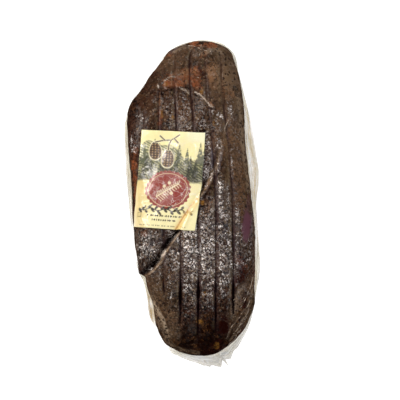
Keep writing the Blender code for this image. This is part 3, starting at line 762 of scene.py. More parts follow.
def add_node(tree, kind, *values, **settings):
    """Adds a node of a kind in the table with its settings and values, and gives back its output."""
    blender_name, usual, inputs, output = KINDS[kind]
    node = tree.nodes.new("ShaderNode" + blender_name)
    for name, value in {**usual, **settings}.items():
        setattr(node, name, value)
    fill(node, dict(zip(inputs, values)))
    return node.outputs[output]


def fresh_material(name):
    """A new material with its Principled shader, the function that adds nodes to it, and its Object place."""
    look = bpy.data.materials.new(name)
    look.use_nodes = True
    add = partial(add_node, look.node_tree)
    return look, look.node_tree.nodes["Principled BSDF"], add, add("place")


def per_mm(size):
    """The Scale of a texture whose features measure this many millimetres."""
    return 1 / (size * MM)


print("a pattern of 2 mm has the Scale", per_mm(2))

# %% [markdown]
# ## The meat's material
# One Principled shader can be two surfaces at once: the base is the dry crust, rough and dark, and the coat
# is the polyethylene film on it, smooth and wrinkled, with a bump of its own, so that the wrinkles glint
# without making the crust look wet. Most of their pin-sharp sparkle is painted into the colour as near-white
# strands. Cured meat has an IOR near 1.4, and film one near 1.5. The colour is built up as a painter would:
# thin layers, each a tint and the shares that say where it lies. Some layers are painted light: the film's
# sheen, sparkle and glints, highlights on the lip, on the crests of folds and on the grooves' right walls,
# and shade in the cleft, the grooves and the valleys.

# %% Patterns of the crust
GRAINS = {
    # size in millimetres, detail, distortion and roughness of a noise
    "slow": (26, 2.0, 0.0, 0.55), "middling": (6, 4.0, 0.6, 0.62), "fine": (2.2, 2.0, 0.4, 0.55),
    "hand-sized": (9, 2.0, 0.0, 0.55), "red field": (48, 1.0, 0.0, 0.55), "olive field": (37, 1.0, 0.0, 0.55),
    "clump": (4.2, 2.0, 0.0, 0.55), "rind grain": (3.4, 3.0, 0.5, 0.55), "pit grain": (4.4, 3.0, 0.8, 0.55),
    "crag grain": (3.0, 3.0, 1.0, 0.62), "gap grain": (1.9, 2.0, 0.5, 0.55),
    "veil grain": (6.0, 3.0, 0.0, 0.55),
    "crest grain": (2.6, 3.0, 0.0, 0.55), "fray grain": (3.2, 2.0, 0.0, 0.55), "speck": (1.5, 1.0, 0.0, 0.55),
    "curl field": (8.0, 2.0, 0.0, 0.55), "break": (2.4, 2.0, 0.0, 0.55), "ridge grain": (5.0, 3.0, 0.0, 0.55),
    "jag grain": (2.4, 2.0, 0.6, 0.55), "glint grain": (1.7, 2.0, 0.0, 0.55),
    "curl": (3.2, 1.5, 1.4, 0.55), "strand": (2.3, 1.5, 0.8, 0.55), "loop": (3.4, 1.5, 1.2, 0.55),
}
CELLS = {"sheen cell": 1.4, "spark cell": 1.35, "glass cell": 1.5, "grit cell": 1.8, "pore cell": 2.0}
THREADS = {"curl": 0.045, "strand": 0.055, "loop": 0.040}
RANGES = {
    # the pattern, where the share begins and ends in it, and the share's own lowest and highest value
    "clinging": ("hand-sized", 0.34, 0.60, 0.45, 1.25), "ragged": ("middling", 0.30, 0.60, 0.35, 1.15),
    "brown drift": ("middling", 0.45, 0.66, 0.0, 0.85), "red drift": ("red field", 0.48, 0.60, 0.0, 0.7),
    "olive drift": ("olive field", 0.46, 0.36, 0.0, 0.6), "light pull": ("drawn", 0.50, 0.64, 0.0, 0.55),
    "dark pull": ("drawn", 0.46, 0.36, 0.0, 0.75), "clumps": ("clump", 0.35, 0.65, -0.22, 0.18),
    "bright rind": ("rind grain", 0.42, 0.60), "small pits": ("fine", 0.46, 0.36),
    "large pits": ("pit grain", 0.40, 0.34), "crags": ("crag grain", 0.47, 0.41),
    "grit": ("grit cell", 0.80, 0.85), "flecks": ("sheen cell", 0.92, 1.02),
    "pitted share": ("pitted", 0.0, 1.0, 0.30, 0.85),
    "fleck drift": ("slow", 0.55, 0.42, 0.5, 1.0), "gap drift": ("gap grain", 0.54, 0.44, 0.0, 1.2),
    "haze drift": ("slow", 0.3, 0.7, 0.45, 0.80), "veil drift": ("veil grain", 0.36, 0.62, 0.25, 0.88),
    "crest drift": ("crest grain", 0.36, 0.56, 0.30, 0.95), "glass": ("glass cell", 0.931, 1.011),
    "fray": ("fray grain", 0.36, 0.52, 0.30, 1.0), "fine fray": ("speck", 0.34, 0.58, 0.45, 1.0),
    "curl drift": ("curl field", 0.50, 0.62), "broken": ("break", 0.46, 0.60),
    "dim": ("speck", 0.42, 0.58, 0.30, 1.0), "ridge drift": ("ridge grain", 0.42, 0.60, 0.0, 0.55),
    "stripe drift": ("middling", 0.35, 0.60, 0.35, 0.85),
    "jags": ("jag grain", 0.32, 0.68, -0.30, 0.30), "wrinkled": ("cling", 0.0, 1.0, 0.15, 1.0),
}
print(len(GRAINS), "grains,", len(CELLS), "fields of cells,", len(RANGES), "ranges")

# %% Layers of the crust, from the bottom up: a tint, and the shares that are multiplied
LAYERS = (
    ("553D2F", "brown drift"), ("3C1D16", "side", "red drift"), ("46371F", "side", "olive drift"),
    # The sheen over the clinging film is a painted sheen
    ("65544A", "side", "light pull"), ("180B06", "side", "dark pull"), ("sheen", "cling", 0.85),
    ("3E2E1B", "olive", "ragged"), ("190803", "dark", 0.97), ("3F251B", "russet", "ragged"),
    ("66472F", "umber", "ragged"), ("74442C", "rust", "ragged"), ("7E593F", "tan", "ragged"),
    ("300E09", "dark_red", "ragged"), ("94662A", "ochre", "ragged"), ("615860", "slate", "ragged"),
    ("120503", "bare", 0.5), ("8E4C2B", "rust", "bright rind", 0.8), ("080303", "pits"),
    ("0B0403", "pitted share", "grit", "uncalmed"),
    ("A1856B", "flecks", "off the dark", "off the sides", 0.60),
    # The veil is a painted sheen of smooth film, and the crest below it a painted highlight on its folds
    ("705943", "haze", "whole", "haze drift"), ("7A6652", "veil", "veil drift", "nearly whole"),
    ("A08C76", "crest", "crest drift"), ("B29A80", "pitted", "glass", "haze", 0.55),
    ("150A06", "pores", 0.85), ("5A3841", "wine"),
    # The lip's tan holds a painted highlight, and the near-black over the cleft is painted shade
    ("lip_tan_and_highlight", "lip", "fray", "fine fray"), ("100504", "cleft_shade", 0.93),
    # The near-white strands are painted sparkle of the film's wrinkles
    ("845A36", "curls"), ("FFF6F0", "painted sparkle"),
    # The purple-grey stripe is partly the meat's own tone and partly painted light on each groove's lit right
    # wall
    ("7A6A52", "ridge", "ridge drift"), ("493A3E", "stripe", "stripe drift"),
    # Painted shade on each groove's slope and floor, and last the painted glints of the film
    ("241519", "groove slope shade"), ("070202", "groove floor shade"), ("EADACA", "glints"),
)
LEFT_BY = {
    # a share that is 1 less the product of these
    "uncalmed": ("calm",), "off the dark": ("dark", 0.9), "off the sides": ("side", "fleck drift"),
    "whole": ("gaps",), "nearly whole": ("gaps", 0.2), "off the wine": ("wine", 0.9), "loose": ("cling",),
}
print(len(LAYERS), "layers")

# %% Shares of the crust
def crust_patterns(add, place):
    """All the patterns and kept numbers by name. A thread is what lies near the middle value of a noise."""
    share = {name: add("kept", attribute_name=name) for name in maps}
    for name, (size, *rest) in GRAINS.items():
        share[name] = add("grain", place, per_mm(size), *rest)
    for name, size in CELLS.items():
        share[name] = add("red of", add("cells", place, per_mm(size)))
    for name, width in THREADS.items():
        share[name] = add("range", add("unsigned", add("less", share[name], 0.5)), width, width * 0.25)
    share["drawn"] = add("grain", add("place times", place, (1.0, 1.0, 0.16)), per_mm(5), 3.0, 0.4)
    for name, (pattern, *span) in RANGES.items():
        share[name] = add("range", share[pattern], *span)
    return share


print(len(maps), "numbers are kept on the ham:", ", ".join(maps))


# %% Shares that are made of others
def crust_shares(add, share):
    """Adds the shares that are made of others: products, what they leave of 1, and the larger of two."""
    def product(*names):
        made = share[names[0]]
        for name in names[1:]:
            made = add("times", made, share.get(name, name))
        return made

    def rest_of(*names):
        return add("less", 1.0, product(*names))

    calm = add("times", add("larger", share["rust"], share["ochre"]), 0.45)
    share["calm"] = add("larger", calm, product("bare", 0.9))
    pits = add("larger", add("larger", share["small pits"], share["large pits"]), product("pitted", "crags"))
    share["pits"] = add("times", pits, add("less", 0.94, share["calm"]))
    share["gaps"] = product("pitted", "gap drift")
    for name, names in LEFT_BY.items():
        share[name] = rest_of(*names)
    likely = add("range", add("plus", share["pore cell"], product("pitted", 0.12)), 0.82, 0.86)
    share["pores"] = add("times", add("larger", share["haze"], share["veil"]), likely)
    uncovered = add("less", 0.38, product("bare", 0.38))
    share["curls"] = add("times", product("dark", "curl", "curl drift"), uncovered)
    # Painted shade: the darkening on each groove's slope and floor
    share["jagged"] = add("plus", share["groove"], product("pitted", "jags"))
    share["groove slope shade"] = add("range", share["jagged"], 0.12, 0.55, 0.0, 0.75)
    share["groove floor shade"] = add("range", share["jagged"], 0.48, 0.78, 0.0, 0.97)
    # Painted glints, broken up by a fine noise
    glinting = add("range", add("plus", share["glint grain"], product("glint", 0.12)), 0.44, 0.62, 0.15, 1.0)
    share["glints"] = add("times", share["glint"], glinting)
    close = product("cling", "clinging")
    strands = add("times", add("larger", share["strand"], share["loop"]), share["broken"])
    fewer = add("times", add("less", 1.0, close), 0.45)
    share["sparks"] = add("larger", add("times", strands, add("range", close, 0.05, 0.95, 0.05, 0.9)),
                          add("range", add("less", share["spark cell"], fewer), 0.80, 0.85))
    share["lit"] = rest_of("dark", "loose", 0.9)
    # Painted sparkle: near-white strands in the colour that stand for the light on the film's wrinkles
    share["painted sparkle"] = product("sparks", "dim", "off the wine", "lit")
    return product


print("sparkle lies where film clings, on", round(100 * float((cling > 0.3).mean())), "% of the points")

# %% Cured crust under film
def crust_under_film():
    """Dry dark crust, wet patches and fine pits, under film whose wrinkles glint; most sparkle is painted."""
    look, shader, add, place = fresh_material("cured crust under clinging film")
    share = crust_patterns(add, place)
    product = crust_shares(add, share)
    # Painted sheen of the clinging film: cells of near-black, grey and pale grey-brown
    chance = add("plus", share["sheen cell"], share["clumps"])
    sheen = add("mix", add("range", chance, 0.22, 0.38), "150A07", "4C3D3C")
    tints = {
        "sheen": add("mix", add("range", chance, 0.60, 0.70), sheen, "7B6959"),
        # The lip's tan: partly its own colour, partly a painted highlight
        "lip_tan_and_highlight": add("mix", add("range", share["middling"], 0.40, 0.60), "A07F66", "D2B28E"),
    }
    colour = add("mix", add("range", share["slow"], 0.35, 0.65), "24160E", "3E2B20")
    for tint, *names in LAYERS:
        colour = add("mix", product(*names), colour, tints.get(tint, tint))
    wrinkle = add("times", add("plus", share["sparks"], share["fine"]), share["wrinkled"])
    wrinkle = add("plus", wrinkle, product("side", "drawn"))
    seen_flat = add("range", add("facing", 0.5), 0.10, 0.50, 1.0, 0.0)
    fill(shader, {
        "Base Color": colour, "Roughness": add("range", share["haze"], 0.0, 1.0, 0.62, 0.42),
        "Normal": add("bump", share["middling"], 0.7, 0.0018), "IOR": 1.4, "Specular IOR Level": 0.0,
        "Coat Weight": add("times", share["film"], seen_flat), "Coat Roughness": 0.06, "Coat IOR": 1.5,
        "Coat Normal": add("bump", wrinkle, 1.0, 0.0013),
    })
    return look


ham.data.materials.append(crust_under_film())
print("ham finished with", len(ham.data.materials[0].node_tree.nodes), "nodes")

# %% [markdown]
# ## Creases of the film
# Where the film was drawn tight it gathered into fine pleats that stand up and catch the light: a fan beside
# the round end, long ones down the right flank and a net of them at the slim end. They are finer than the
# ham's mesh, so each is a small tent of its own that follows a line over the meat. Its height comes and goes
# along the way, and where it goes below the surface the crease breaks off.

# %% Places on the ham's top
TOP_SPAN = 2 * CORNER_COLUMNS + TOP_COLUMNS
print("columns that face up:", TOP_SPAN)


def on_ham(px, py):
    """The point of the surface over each place in the drawing, and the way out there."""
    row = np.clip(np.interp(-py, -grid[:, 0, 1], np.arange(len(grid))), 0, len(grid) - 1.001)
    i, t = row.astype(int), (row % 1)[:, None]
    row_x = (1 - t) * grid[i, :TOP_SPAN, 0] + t * grid[i + 1, :TOP_SPAN, 0]
    j = np.clip((row_x < px[:, None]).sum(axis=1) - 1, 0, TOP_SPAN - 2)
    k = np.arange(len(px))
    s = np.clip((px - row_x[k, j]) / (row_x[k, j + 1] - row_x[k, j]), 0, 1)[:, None]
    found = []
    for field in (surface, outward):
        near = (1 - t) * field[i, j] + t * field[i + 1, j]
        far = (1 - t) * field[i, j + 1] + t * field[i + 1, j + 1]
        found.append((1 - s) * near + s * far)
    return found


# %% Where the creases run: half width in millimetres, strength, and places along the line in millimetres
PLEATS = [
    (0.5, 0.8, [(-29, 122), (-26, 124), (-20, 126), (-12, 128)]),
    (0.5, 0.6, [(-15, 113), (-9, 111), (-4, 107)]),
    (0.5, 0.5, [(1, 125), (6, 123), (10, 119)]),
    (0.6, 1.0, [(0, 110), (5, 107), (10, 103), (15, 97), (20, 95)]),
    (0.5, 0.6, [(-22, 150), (-18, 153), (-7, 156), (2, 155)]),
    (0.5, 0.6, [(7, 158), (6, 152), (4, 145)]),
    (0.5, 0.6, [(2, 155), (9, 152), (17, 151), (22, 153)]),
    (0.6, 0.9, [(13, 142), (18, 140), (21, 140)]),
    (0.6, 0.5, [(34, 83), (31, 77), (29, 67)]),
    (0.6, 0.6, [(59, -71), (56, -79), (53, -88), (50, -95), (46, -102), (41, -106)]),
    (0.6, 0.6, [(48, -109), (41, -117), (34, -127), (31, -137)]),
    (0.5, 0.6, [(51, -113), (45, -121), (38, -131)]),
    (0.5, 0.5, [(47, -86), (43, -91), (38, -97)]),
    (0.5, 0.5, [(50, -92), (45, -99), (39, -107)]),
    (0.5, 0.5, [(-11, -28), (-10, -34), (-11, -43)]),
]


def fanned(number):
    """A pleat of the fan at the round end: in from the right edge, down to the left, bowed outwards."""
    along = -96 - 7.5 * number
    start = np.array([float(ham_edges(turn_of(MM * np.array([along])))[1][0]) / MM - 5, along])
    way = (18 + 5 * math.sin(2.3 * number)) * np.array([-0.59, -0.81])
    bow = 0.08 * np.array([-way[1], way[0]])
    return [start, start + 0.33 * way + bow, start + 0.67 * way + bow, start + way]


PLEATS += [(0.5, 0.5 + 0.15 * math.cos(3 * number), fanned(number)) for number in range(5)]
print(len(PLEATS), "creases")


# %% Creases as tents
CREASE_STEP, CREASE_HEIGHT, CREASE_SUNK = 0.0007, 0.00080, 0.00035


def tent(width, strength, line, seed):
    """Rows of four points across a crease: two feet under the surface and two at the top, left to right."""
    line = MM * np.array(line)
    lengths = np.concatenate([[0], np.cumsum(np.hypot(*np.diff(line, axis=0).T))])
    at = np.linspace(0, lengths[-1], max(8, int(lengths[-1] / CREASE_STEP)))
    px, py = flowing(at, lengths, line[:, 0]), flowing(at, lengths, line[:, 1])
    px = px + 0.0005 * flat_noise(at, 0 * at, 0.0060, seed)
    centre, out = on_ham(px, py)
    share = at / lengths[-1]
    taper = smooth_step(share, 0.0, 0.15) * (1 - smooth_step(share, 0.85, 1.0))
    broken = smooth_step(flat_noise(at, 0 * at, 0.0070, seed + 1) + strength, -0.90, 0.10)
    height = CREASE_HEIGHT * strength * taper * broken * (1 + 0.4 * flat_noise(at, 0 * at, 0.0012, seed + 2))
    half = width * MM * (0.7 + 0.3 * taper)
    along = np.gradient(centre, axis=0)
    side = np.cross(along, out)
    side = side / np.linalg.norm(side, axis=1, keepdims=True) * half[:, None]
    top = centre + (height - 0.3 * CREASE_SUNK)[:, None] * out
    foot = centre - CREASE_SUNK * out
    return np.stack([foot + side, top + side * 0.3, top - side * 0.3, foot - side], axis=1)


def crease_film():
    """Folded polyethylene film: doubled, so it whitens, and smooth enough to flash where it turns."""
    look, shader, add, place = fresh_material("creased polyethylene film")
    cloudy = add("grain", place, per_mm(5), 2.0)
    fill(shader, {
        "Base Color": add("mix", add("range", cloudy, 0.42, 0.62), "7C6755", "C9B49E"),
        "Alpha": add("range", cloudy, 0.35, 0.60, 0.30, 0.72), "Roughness": 0.45, "IOR": 1.5,
    })
    return look


points, faces = [], []
for number, (width, strength, line) in enumerate(PLEATS):
    rows_here = tent(width, strength, line, 200 + 5 * number)
    first = sum(len(part) for part in points)
    ends = np.stack([rows_here[0].mean(axis=0), rows_here[-1].mean(axis=0)])
    points += [rows_here.reshape(-1, 3), ends]
    faces += [tuple(first + corner for corner in face) for face in tube_faces(len(rows_here), 4)]
creases = mesh_piece("film_creases", np.vstack(points), faces, [crease_film()])
print("creases", len(PLEATS), "with", len(creases.data.polygons), "faces")

# %% [markdown]
# ## The paper label
# The label lies between the meat and the film, and the vacuum presses it over the ham's left shoulder. It
# could be a flat sheet bent by a modifier, but here it asks the ham for its height at every point, so it
# bridges the grooves a little and creases over the lip of the cleft. Its points are 0.4 mm apart, which is
# fine enough to hold the print as a colour on each point.

# %% Shape of the label
LABEL_CORNERS = MM * np.array([(-51.5, 72.2), (10.6, 69.0), (0.5, -27.3), (-59.0, -23.4)])
LABEL_ACROSS, LABEL_ALONG = 168, 248
LABEL_LIFT, LABEL_BOW = 0.0013, 0.0016


def label_grid():
    """Points of the paper, rows from the lower edge up: a grid between the corners, lifted off the meat."""
    across = np.linspace(0, 1, LABEL_ACROSS)[None, :, None] ** 1.15
    along = np.linspace(0, 1, LABEL_ALONG)[:, None, None]
    left_top, right_top, right_low, left_low = LABEL_CORNERS
    flat = (1 - along) * (left_low + across * (right_low - left_low)) + along * (
        left_top + across * (right_top - left_top))
    px, py = flat[:, :, 0] + LABEL_BOW * across[:, :, 0] * np.sin(math.pi * along[:, :, 0]), flat[:, :, 1]
    reach = 0.0016
    height = np.mean([top_height(px + dx, py + dy, 0.3, 0.1) for dx, dy in
                      ((0, 0), (reach, 0), (-reach, 0), (0, reach), (0, -reach))], axis=0)
    crumple = 0.00030 * np.abs(flat_noise(px, py, 0.011, 51)) + 0.00022 * flat_noise(px, py, 0.0045, 52)
    points = np.stack([px, py, height], axis=2)
    normal = np.cross(np.gradient(points, axis=1), np.gradient(points, axis=0))
    normal = normal / np.linalg.norm(normal, axis=2, keepdims=True)
    return points + (LABEL_LIFT + crumple)[:, :, None] * normal


label_points = label_grid()
steps = np.linalg.norm(np.diff(label_points, axis=1), axis=2)
paper_x = np.concatenate([np.zeros((LABEL_ALONG, 1)), np.cumsum(steps, axis=1)], axis=1) / MM
steps = np.linalg.norm(np.diff(label_points, axis=0), axis=2)
paper_y = np.concatenate([np.zeros((1, LABEL_ACROSS)), np.cumsum(steps, axis=0)], axis=0) / MM
paper_x = paper_x - paper_x[:, -1:] + float(paper_x[:, -1].mean())
PAPER_WIDTH, PAPER_HEIGHT = float(paper_x.max()), float(paper_y[-1].mean())
print("paper is", round(PAPER_WIDTH, 1), "by", round(PAPER_HEIGHT, 1), "mm")

# %% [markdown]
# ## The print
# The print is a plain country design: hatched hills and rows of firs in grey-green ink on cream, two pine
# cones on a twig, an oval seal in brick red with a juniper sprig, a leafy vine and a few rules. Each shape is
# a formula of the place on the paper that says how much ink is there, so nothing is loaded from a picture.


# %% Ink and strokes
SEAL_PLACE = (33.5, 38.5)
VINE_HEIGHT = 18.6


def inside(distance, edge=0.35):
    """1 where the distance outside a shape is negative and 0 where it is positive, with a soft edge in mm."""
    return 1 - smooth_step(distance, -edge, edge)


def stroke(px, py, line, width):
    """Ink along a line given in millimetres, as wide as width at each stretch."""
    off, share = line_distance(px, py, np.array(line, float))
    return inside(np.abs(off) - width / 2, 0.3), share


def inked(colour, amount, tint):
    """The colour after an ink of this tint has been laid on, by amount."""
    return colour + amount[:, :, None] * (np.array(linear(tint)[:3]) - colour)


probe = linear("8F1411")[:3]
print("the seal's brick red is", [round(part, 3) for part in probe], "in linear light")


# %% Hills and firs
def fir(px, py, foot_x, foot_y, tall, wide):
    """A fir as tiers: its half width grows down the tree in a saw-tooth, and noise frays it."""
    up = (py - foot_y) / tall
    saw = (up * 6.0) % 1.0
    half = wide * (1 - up) * (0.72 + 0.42 * (1 - saw)) + 0.35 * flat_noise(px, py, 0.9, 61)
    body = inside(np.abs(px - foot_x) - half, 0.5)
    return body * smooth_step(up, 0.0, 0.03) * (1 - smooth_step(up, 0.96, 1.0))


def woodland(px, py, colour):
    """Hatched hills behind three rows of firs, darker to the front, from the middle of the paper up."""
    for base, rise, shift, tint in ((78, 8, 0.0, "6C7258"), (68, 8, 2.0, "474C36"), (58, 6, 4.1, "343828")):
        crest = base + rise * np.sin(px / 12.0 + shift) + 3 * np.sin(px / 4.7 + 2 * shift)
        fold = flat_noise(px, py, 6.0, 66) + 0.6 * flat_noise(px, py, 2.6, 67)
        hatch = smooth_step(np.sin((py + 0.6 * px) * 2.3 + 2.5 * fold) + 1.1 * fold, -0.7, 0.8)
        hill = inside(py - crest, 0.7) * smooth_step(py, 46, 50)
        colour = inked(colour, hill * (0.42 + 0.58 * hatch), tint)
    for row, (foot, tall, tint) in enumerate(((64, 24, "545B42"), (56, 20, "323829"), (49, 17, "191D13"))):
        for k in range(8):
            foot_x = 6.5 + 8.9 * k + 2.6 * math.sin(2.4 * k + 1.7 * row)
            size = tall * (0.72 + 0.28 * math.sin(1.9 * k + row) ** 2)
            tree = fir(px, py, foot_x, foot + 2 * math.sin(k * 1.3), size, size * 0.20)
            grain = smooth_step(flat_noise(px, py, 1.5, 64 + row), -0.85, -0.05)
            colour = inked(colour, tree * (0.30 + 0.70 * grain), tint)
    return colour


print("three rows of eight firs stand before three hills")


# %% The seal
def seal(px, py, colour):
    """A brick-red oval with a scalloped rim, a pale ring, and a sprig of needles and berries inside."""
    dx, dy = px - SEAL_PLACE[0], py - SEAL_PLACE[1]
    reach = np.hypot(dx / 22.5, dy / 19.0)
    angle = np.arctan2(dy, dx)
    colour = inked(colour, inside((reach - 1 - 0.025 * np.cos(28 * angle)) * 20, 0.35), "8F1411")
    colour = inked(colour, 0.85 * inside(np.abs(reach - 0.86) * 20 - 0.28, 0.25), "F3DFB4")
    low, high = np.array(SEAL_PLACE) - (10.5, 7.5), np.array(SEAL_PLACE) + (9.5, 6.5)
    stem, _ = stroke(px, py, [low, high], 1.1)
    colour = inked(colour, 0.95 * stem, "F6E6BE")
    for k in range(11):
        t = k / 10
        foot = low + t * (high - low)
        for side in (1, -1):
            tip = foot + np.array([3.2 - 1.5 * side, 4.6 * side + 1.0]) * (1.05 - 0.45 * t)
            needle, _ = stroke(px, py, [foot, tip], 0.75)
            colour = inked(colour, 0.92 * needle, "F6E6BE")
    for bx, by in ((-4.0, 3.5), (4.5, -3.0), (0.5, 7.0)):
        colour = inked(colour, inside(np.hypot(dx - bx, dy - by) - 1.6, 0.3), "F3DFB4")
    return colour


print("seal at", SEAL_PLACE, "mm on the paper")


# %% Cones on a twig
def pine_cone(px, py, colour, middle):
    """A hanging cone: an egg shape crossed by two families of curves for its scales."""
    dx, dy = px - middle[0], py - middle[1]
    egg = np.hypot(dx / (6.0 - 0.12 * dy), dy / 8.8)
    scales = 0.5 + 0.5 * np.sin(1.3 * dy + 1.05 * dx) * np.sin(1.3 * dy - 1.05 * dx)
    colour = inked(colour, inside((egg - 1.12) * 7, 0.5), "F9F0CC")
    body = inside((egg - 1) * 7, 0.35)
    colour = inked(colour, body, "45302A")
    return inked(colour, body * smooth_step(scales, 0.50, 0.85), "A98963")


def cones_on_a_twig(px, py, colour):
    """Two cones under a twig that comes in from the top edge."""
    for middle in ((17.5, 76.5), (30.5, 69.5)):
        colour = pine_cone(px, py, colour, middle)
    for line in ([(41, 94), (33, 88.5), (24, 87), (17.5, 85)], [(33, 88.5), (31, 83), (30.5, 78)],
                 [(27, 87.5), (22, 91.5)], [(36, 90.5), (40, 86)]):
        halo, _ = stroke(px, py, line, 2.4)
        twig, _ = stroke(px, py, line, 1.2)
        colour = inked(inked(colour, 0.8 * halo, "F9F0CC"), twig, "3E2C24")
    return colour


print("cones hang from the top edge, at", round(PAPER_HEIGHT), "mm")


# %% Vine and rules
def vine(px, py, colour):
    """A waving stem right across the lower part, with slanted leaves above and below it by turns."""
    middle = VINE_HEIGHT + 1.1 * np.sin(px * 0.42)
    span = smooth_step(px, 5, 7) * (1 - smooth_step(px, 60, 63))
    colour = inked(colour, inside(np.abs(py - middle) - 0.6, 0.2) * span, "1E110D")
    for k in range(17):
        leaf_x = 7.0 + 3.25 * k
        side = 1 if k % 2 else -1
        dx = px - leaf_x - 0.9
        dy = py - VINE_HEIGHT - 1.1 * math.sin(leaf_x * 0.42) - 1.9 * side
        turned, risen = 0.75 * dx + 0.66 * side * dy, 0.75 * dy - 0.66 * side * dx
        size = 2.6 + 0.8 * math.sin(2.3 * k)
        leaf = inside((np.hypot(turned / size, risen / 1.2) - 1) * 0.9, 0.2)
        colour = inked(colour, leaf, "1E110D")
    return colour


def rules(px, py, colour):
    """Rows of plain dashes under the vine, and a small empty frame at their left, in dark brown."""
    for level, tall, start, end, beat, dark in ((12.6, 0.95, 15, 50, 2.6, 1.0), (8.4, 0.90, 20, 45, 2.3, 1.0),
                                                (2.8, 0.55, 7, 56, 3.1, 0.75)):
        dash = smooth_step(np.sin(px * math.tau / beat) + 0.8 * np.sin(px * 1.31 + level) + 0.75, 0.0, 0.5)
        row = inside(np.abs(py - level) - tall * (0.75 + 0.35 * np.sin(px * 2.9 + level)), 0.3)
        span = smooth_step(px, start, start + 0.5) * (1 - smooth_step(px, end, end + 0.5))
        colour = inked(colour, dark * row * dash * span, "28150C")
    mark = np.maximum(np.abs(px - 7.0), np.abs(py - 13.0) * 0.9)
    return inked(colour, 0.7 * inside(np.abs(mark - 1.9) - 0.35, 0.3), "4A3020")


print("vine at", VINE_HEIGHT, "mm up the paper")


# %% The finished print
def label_print(px, py):
    """The finished print: cream ground, woodland, cones, seal, vine and rules, laid on in that order."""
    colour = np.array(linear("FFF4B4")[:3]) + 0 * px[:, :, None]
    colour = inked(colour, smooth_step(py, 48, 20), "FFF6BE")
    # Painted shade: the lower left of the paper, where it bends down over the shoulder, is darker and
    # yellower
    colour = inked(colour, 0.80 * (1 - smooth_step(px, 3, 24)) * smooth_step(py, 60, 48), "DFC47C")
    colour = inked(colour, 0.7 * smooth_step(px, 42, 56) * smooth_step(py, 84, 92), "FFFFE0")
    for part in (woodland, cones_on_a_twig, seal, vine, rules):
        colour = part(px, py, colour)
    return colour


ink = label_print(paper_x, paper_y)
print("print holds", ink.shape[0] * ink.shape[1], "points of colour")


# %% [markdown]
# ## The paper of the label
# The paper is coated stock under film: a thin glossy coat with soft dents over the print. Along the cleft it
# is creased, with painted shade in the crease and a golden band of painted shade beside it, and the film over
# its lower part shows pale facets with thin bright edges. A Voronoi texture gives such facets, and two sizes
# of it keep them from looking regular.

# %% Paper and its film
FACETS = ((15, 0.16, 0.010), (7.5, 0.09, 0.020))
DENT = (0.007, 0.007, 0.007)


def printed_paper():
    """Coated paper with its print, painted shade at its crease and pale facets. A facet is its size in mm,
    paleness and line.
    """
    look, shader, add, place = fresh_material("printed label paper under film")
    crease, pale_facets, crease_shade = (add("kept", attribute_name=name) for name in ("crease", "pale_facets", "crease_shade"))
    fibre, film = add("grain", place, per_mm(1.2), 3.0), add("grain", place, per_mm(5.5), 3.0, 1.3)
    colour = add("kept colour", attribute_name="print")
    colour = add("mix", add("range", fibre, 0.35, 0.65, 0.0, 0.10), colour, "C8B988")
    # Painted shade along the paper's crease: a golden band beside it and an amber line in it
    colour = add("mix", add("times", crease_shade, 0.85), colour, "F3CC74")
    colour = add("mix", crease, colour, "C9822F")
    bent = add("place plus", place, add("place times", add("grain colour", place, per_mm(7), 2.0), DENT))
    for size, paleness, line in FACETS:
        chance = add("red of", add("cells", bent, per_mm(size)))
        pale = add("times", pale_facets, add("range", chance, 0.25, 0.9, 0.0, paleness))
        edge = add("cell edges", bent, per_mm(size))
        thin = add("times", add("range", edge, line, line * 2.5, 0.50, 0.0), add("range", film, 0.42, 0.58))
        colour = add("mix", add("times", thin, pale_facets), add("mix", pale, colour, "F6E6E2"), "FFFAF4")
    fill(shader, {
        "Base Color": colour, "Roughness": 0.6, "Coat Weight": 1.0, "Coat Roughness": 0.12, "Coat IOR": 1.55,
        "Coat Normal": add("bump", film, 0.7, 0.0012),
    })
    return look


print(len(FACETS), "sizes of facet on the label's film")

# %% Label piece
CREASE = MM * np.array([(-18.6, -25.6), (-11.4, -14), (-4.6, -4), (3.2, 5.1), (7, 10)])
FACET_PATCHES = (
    (-21, 10, 15, 24, 10, 1.0), (-3, 8, 9, 18, -20, 1.0), (-32, 4, 14, 14, 0, 0.8),
    (-12, 48, 22, 20, 0, 0.6),
)
PAPER_THICKNESS = 0.0002


def sheet_faces(rows, columns):
    """Squares of an open sheet whose rows run up and whose columns run to the right."""
    i, j = np.arange(rows - 1)[:, None] * columns, np.arange(columns - 1)
    return np.stack([i + j, i + j + 1, i + columns + j + 1, i + columns + j], axis=2).reshape(-1, 4).tolist()


squares = sheet_faces(LABEL_ALONG, LABEL_ACROSS)
label = mesh_piece("paper_label", label_points.reshape(-1, 3), squares, [printed_paper()])
colours = label.data.attributes.new("print", "FLOAT_COLOR", "POINT")
opaque = np.concatenate([ink, np.ones(ink.shape[:2] + (1,))], axis=2)
colours.data.foreach_set("color", opaque.astype(np.float32).ravel())
label_x, label_y = label_points[:, :, 0], label_points[:, :, 1]
off, share = line_distance(label_x, label_y, CREASE)
# The crease line and the band beside it hold painted shade for the paper's fold
strong = (0.95 - 0.45 * smooth_step(share, 0.2, 1.0)) * bell(off, -0.0002, 0.0008)
store(label, "crease", strong * (0.7 + 0.5 * noise(off, share, 0 * off, 0.003, 55)))
store(label, "crease_shade", bell(off, -0.0018, 0.0036) * (1 - 0.4 * share))
store(label, "pale_facets", painted(label_x, label_y, FACET_PATCHES, edge=0.9))
wall = label.modifiers.new("paper thickness", "SOLIDIFY")
wall.thickness, wall.offset = PAPER_THICKNESS, -1.0
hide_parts("label")
print("label", len(squares), "squares")

# %% [markdown]
# ## The free edge of the bag
# A vacuum bag is two sheets of film welded together. Round the ham they leave its flank above and below its
# widest line, slope together and end in a crinkled rim. It is a ring with a wedge for its cross-section, so
# it is closed, and a clear plastic that whitens where it is folded. The streaks of the folds run along the
# rim, so the ripples of the wedge do too.

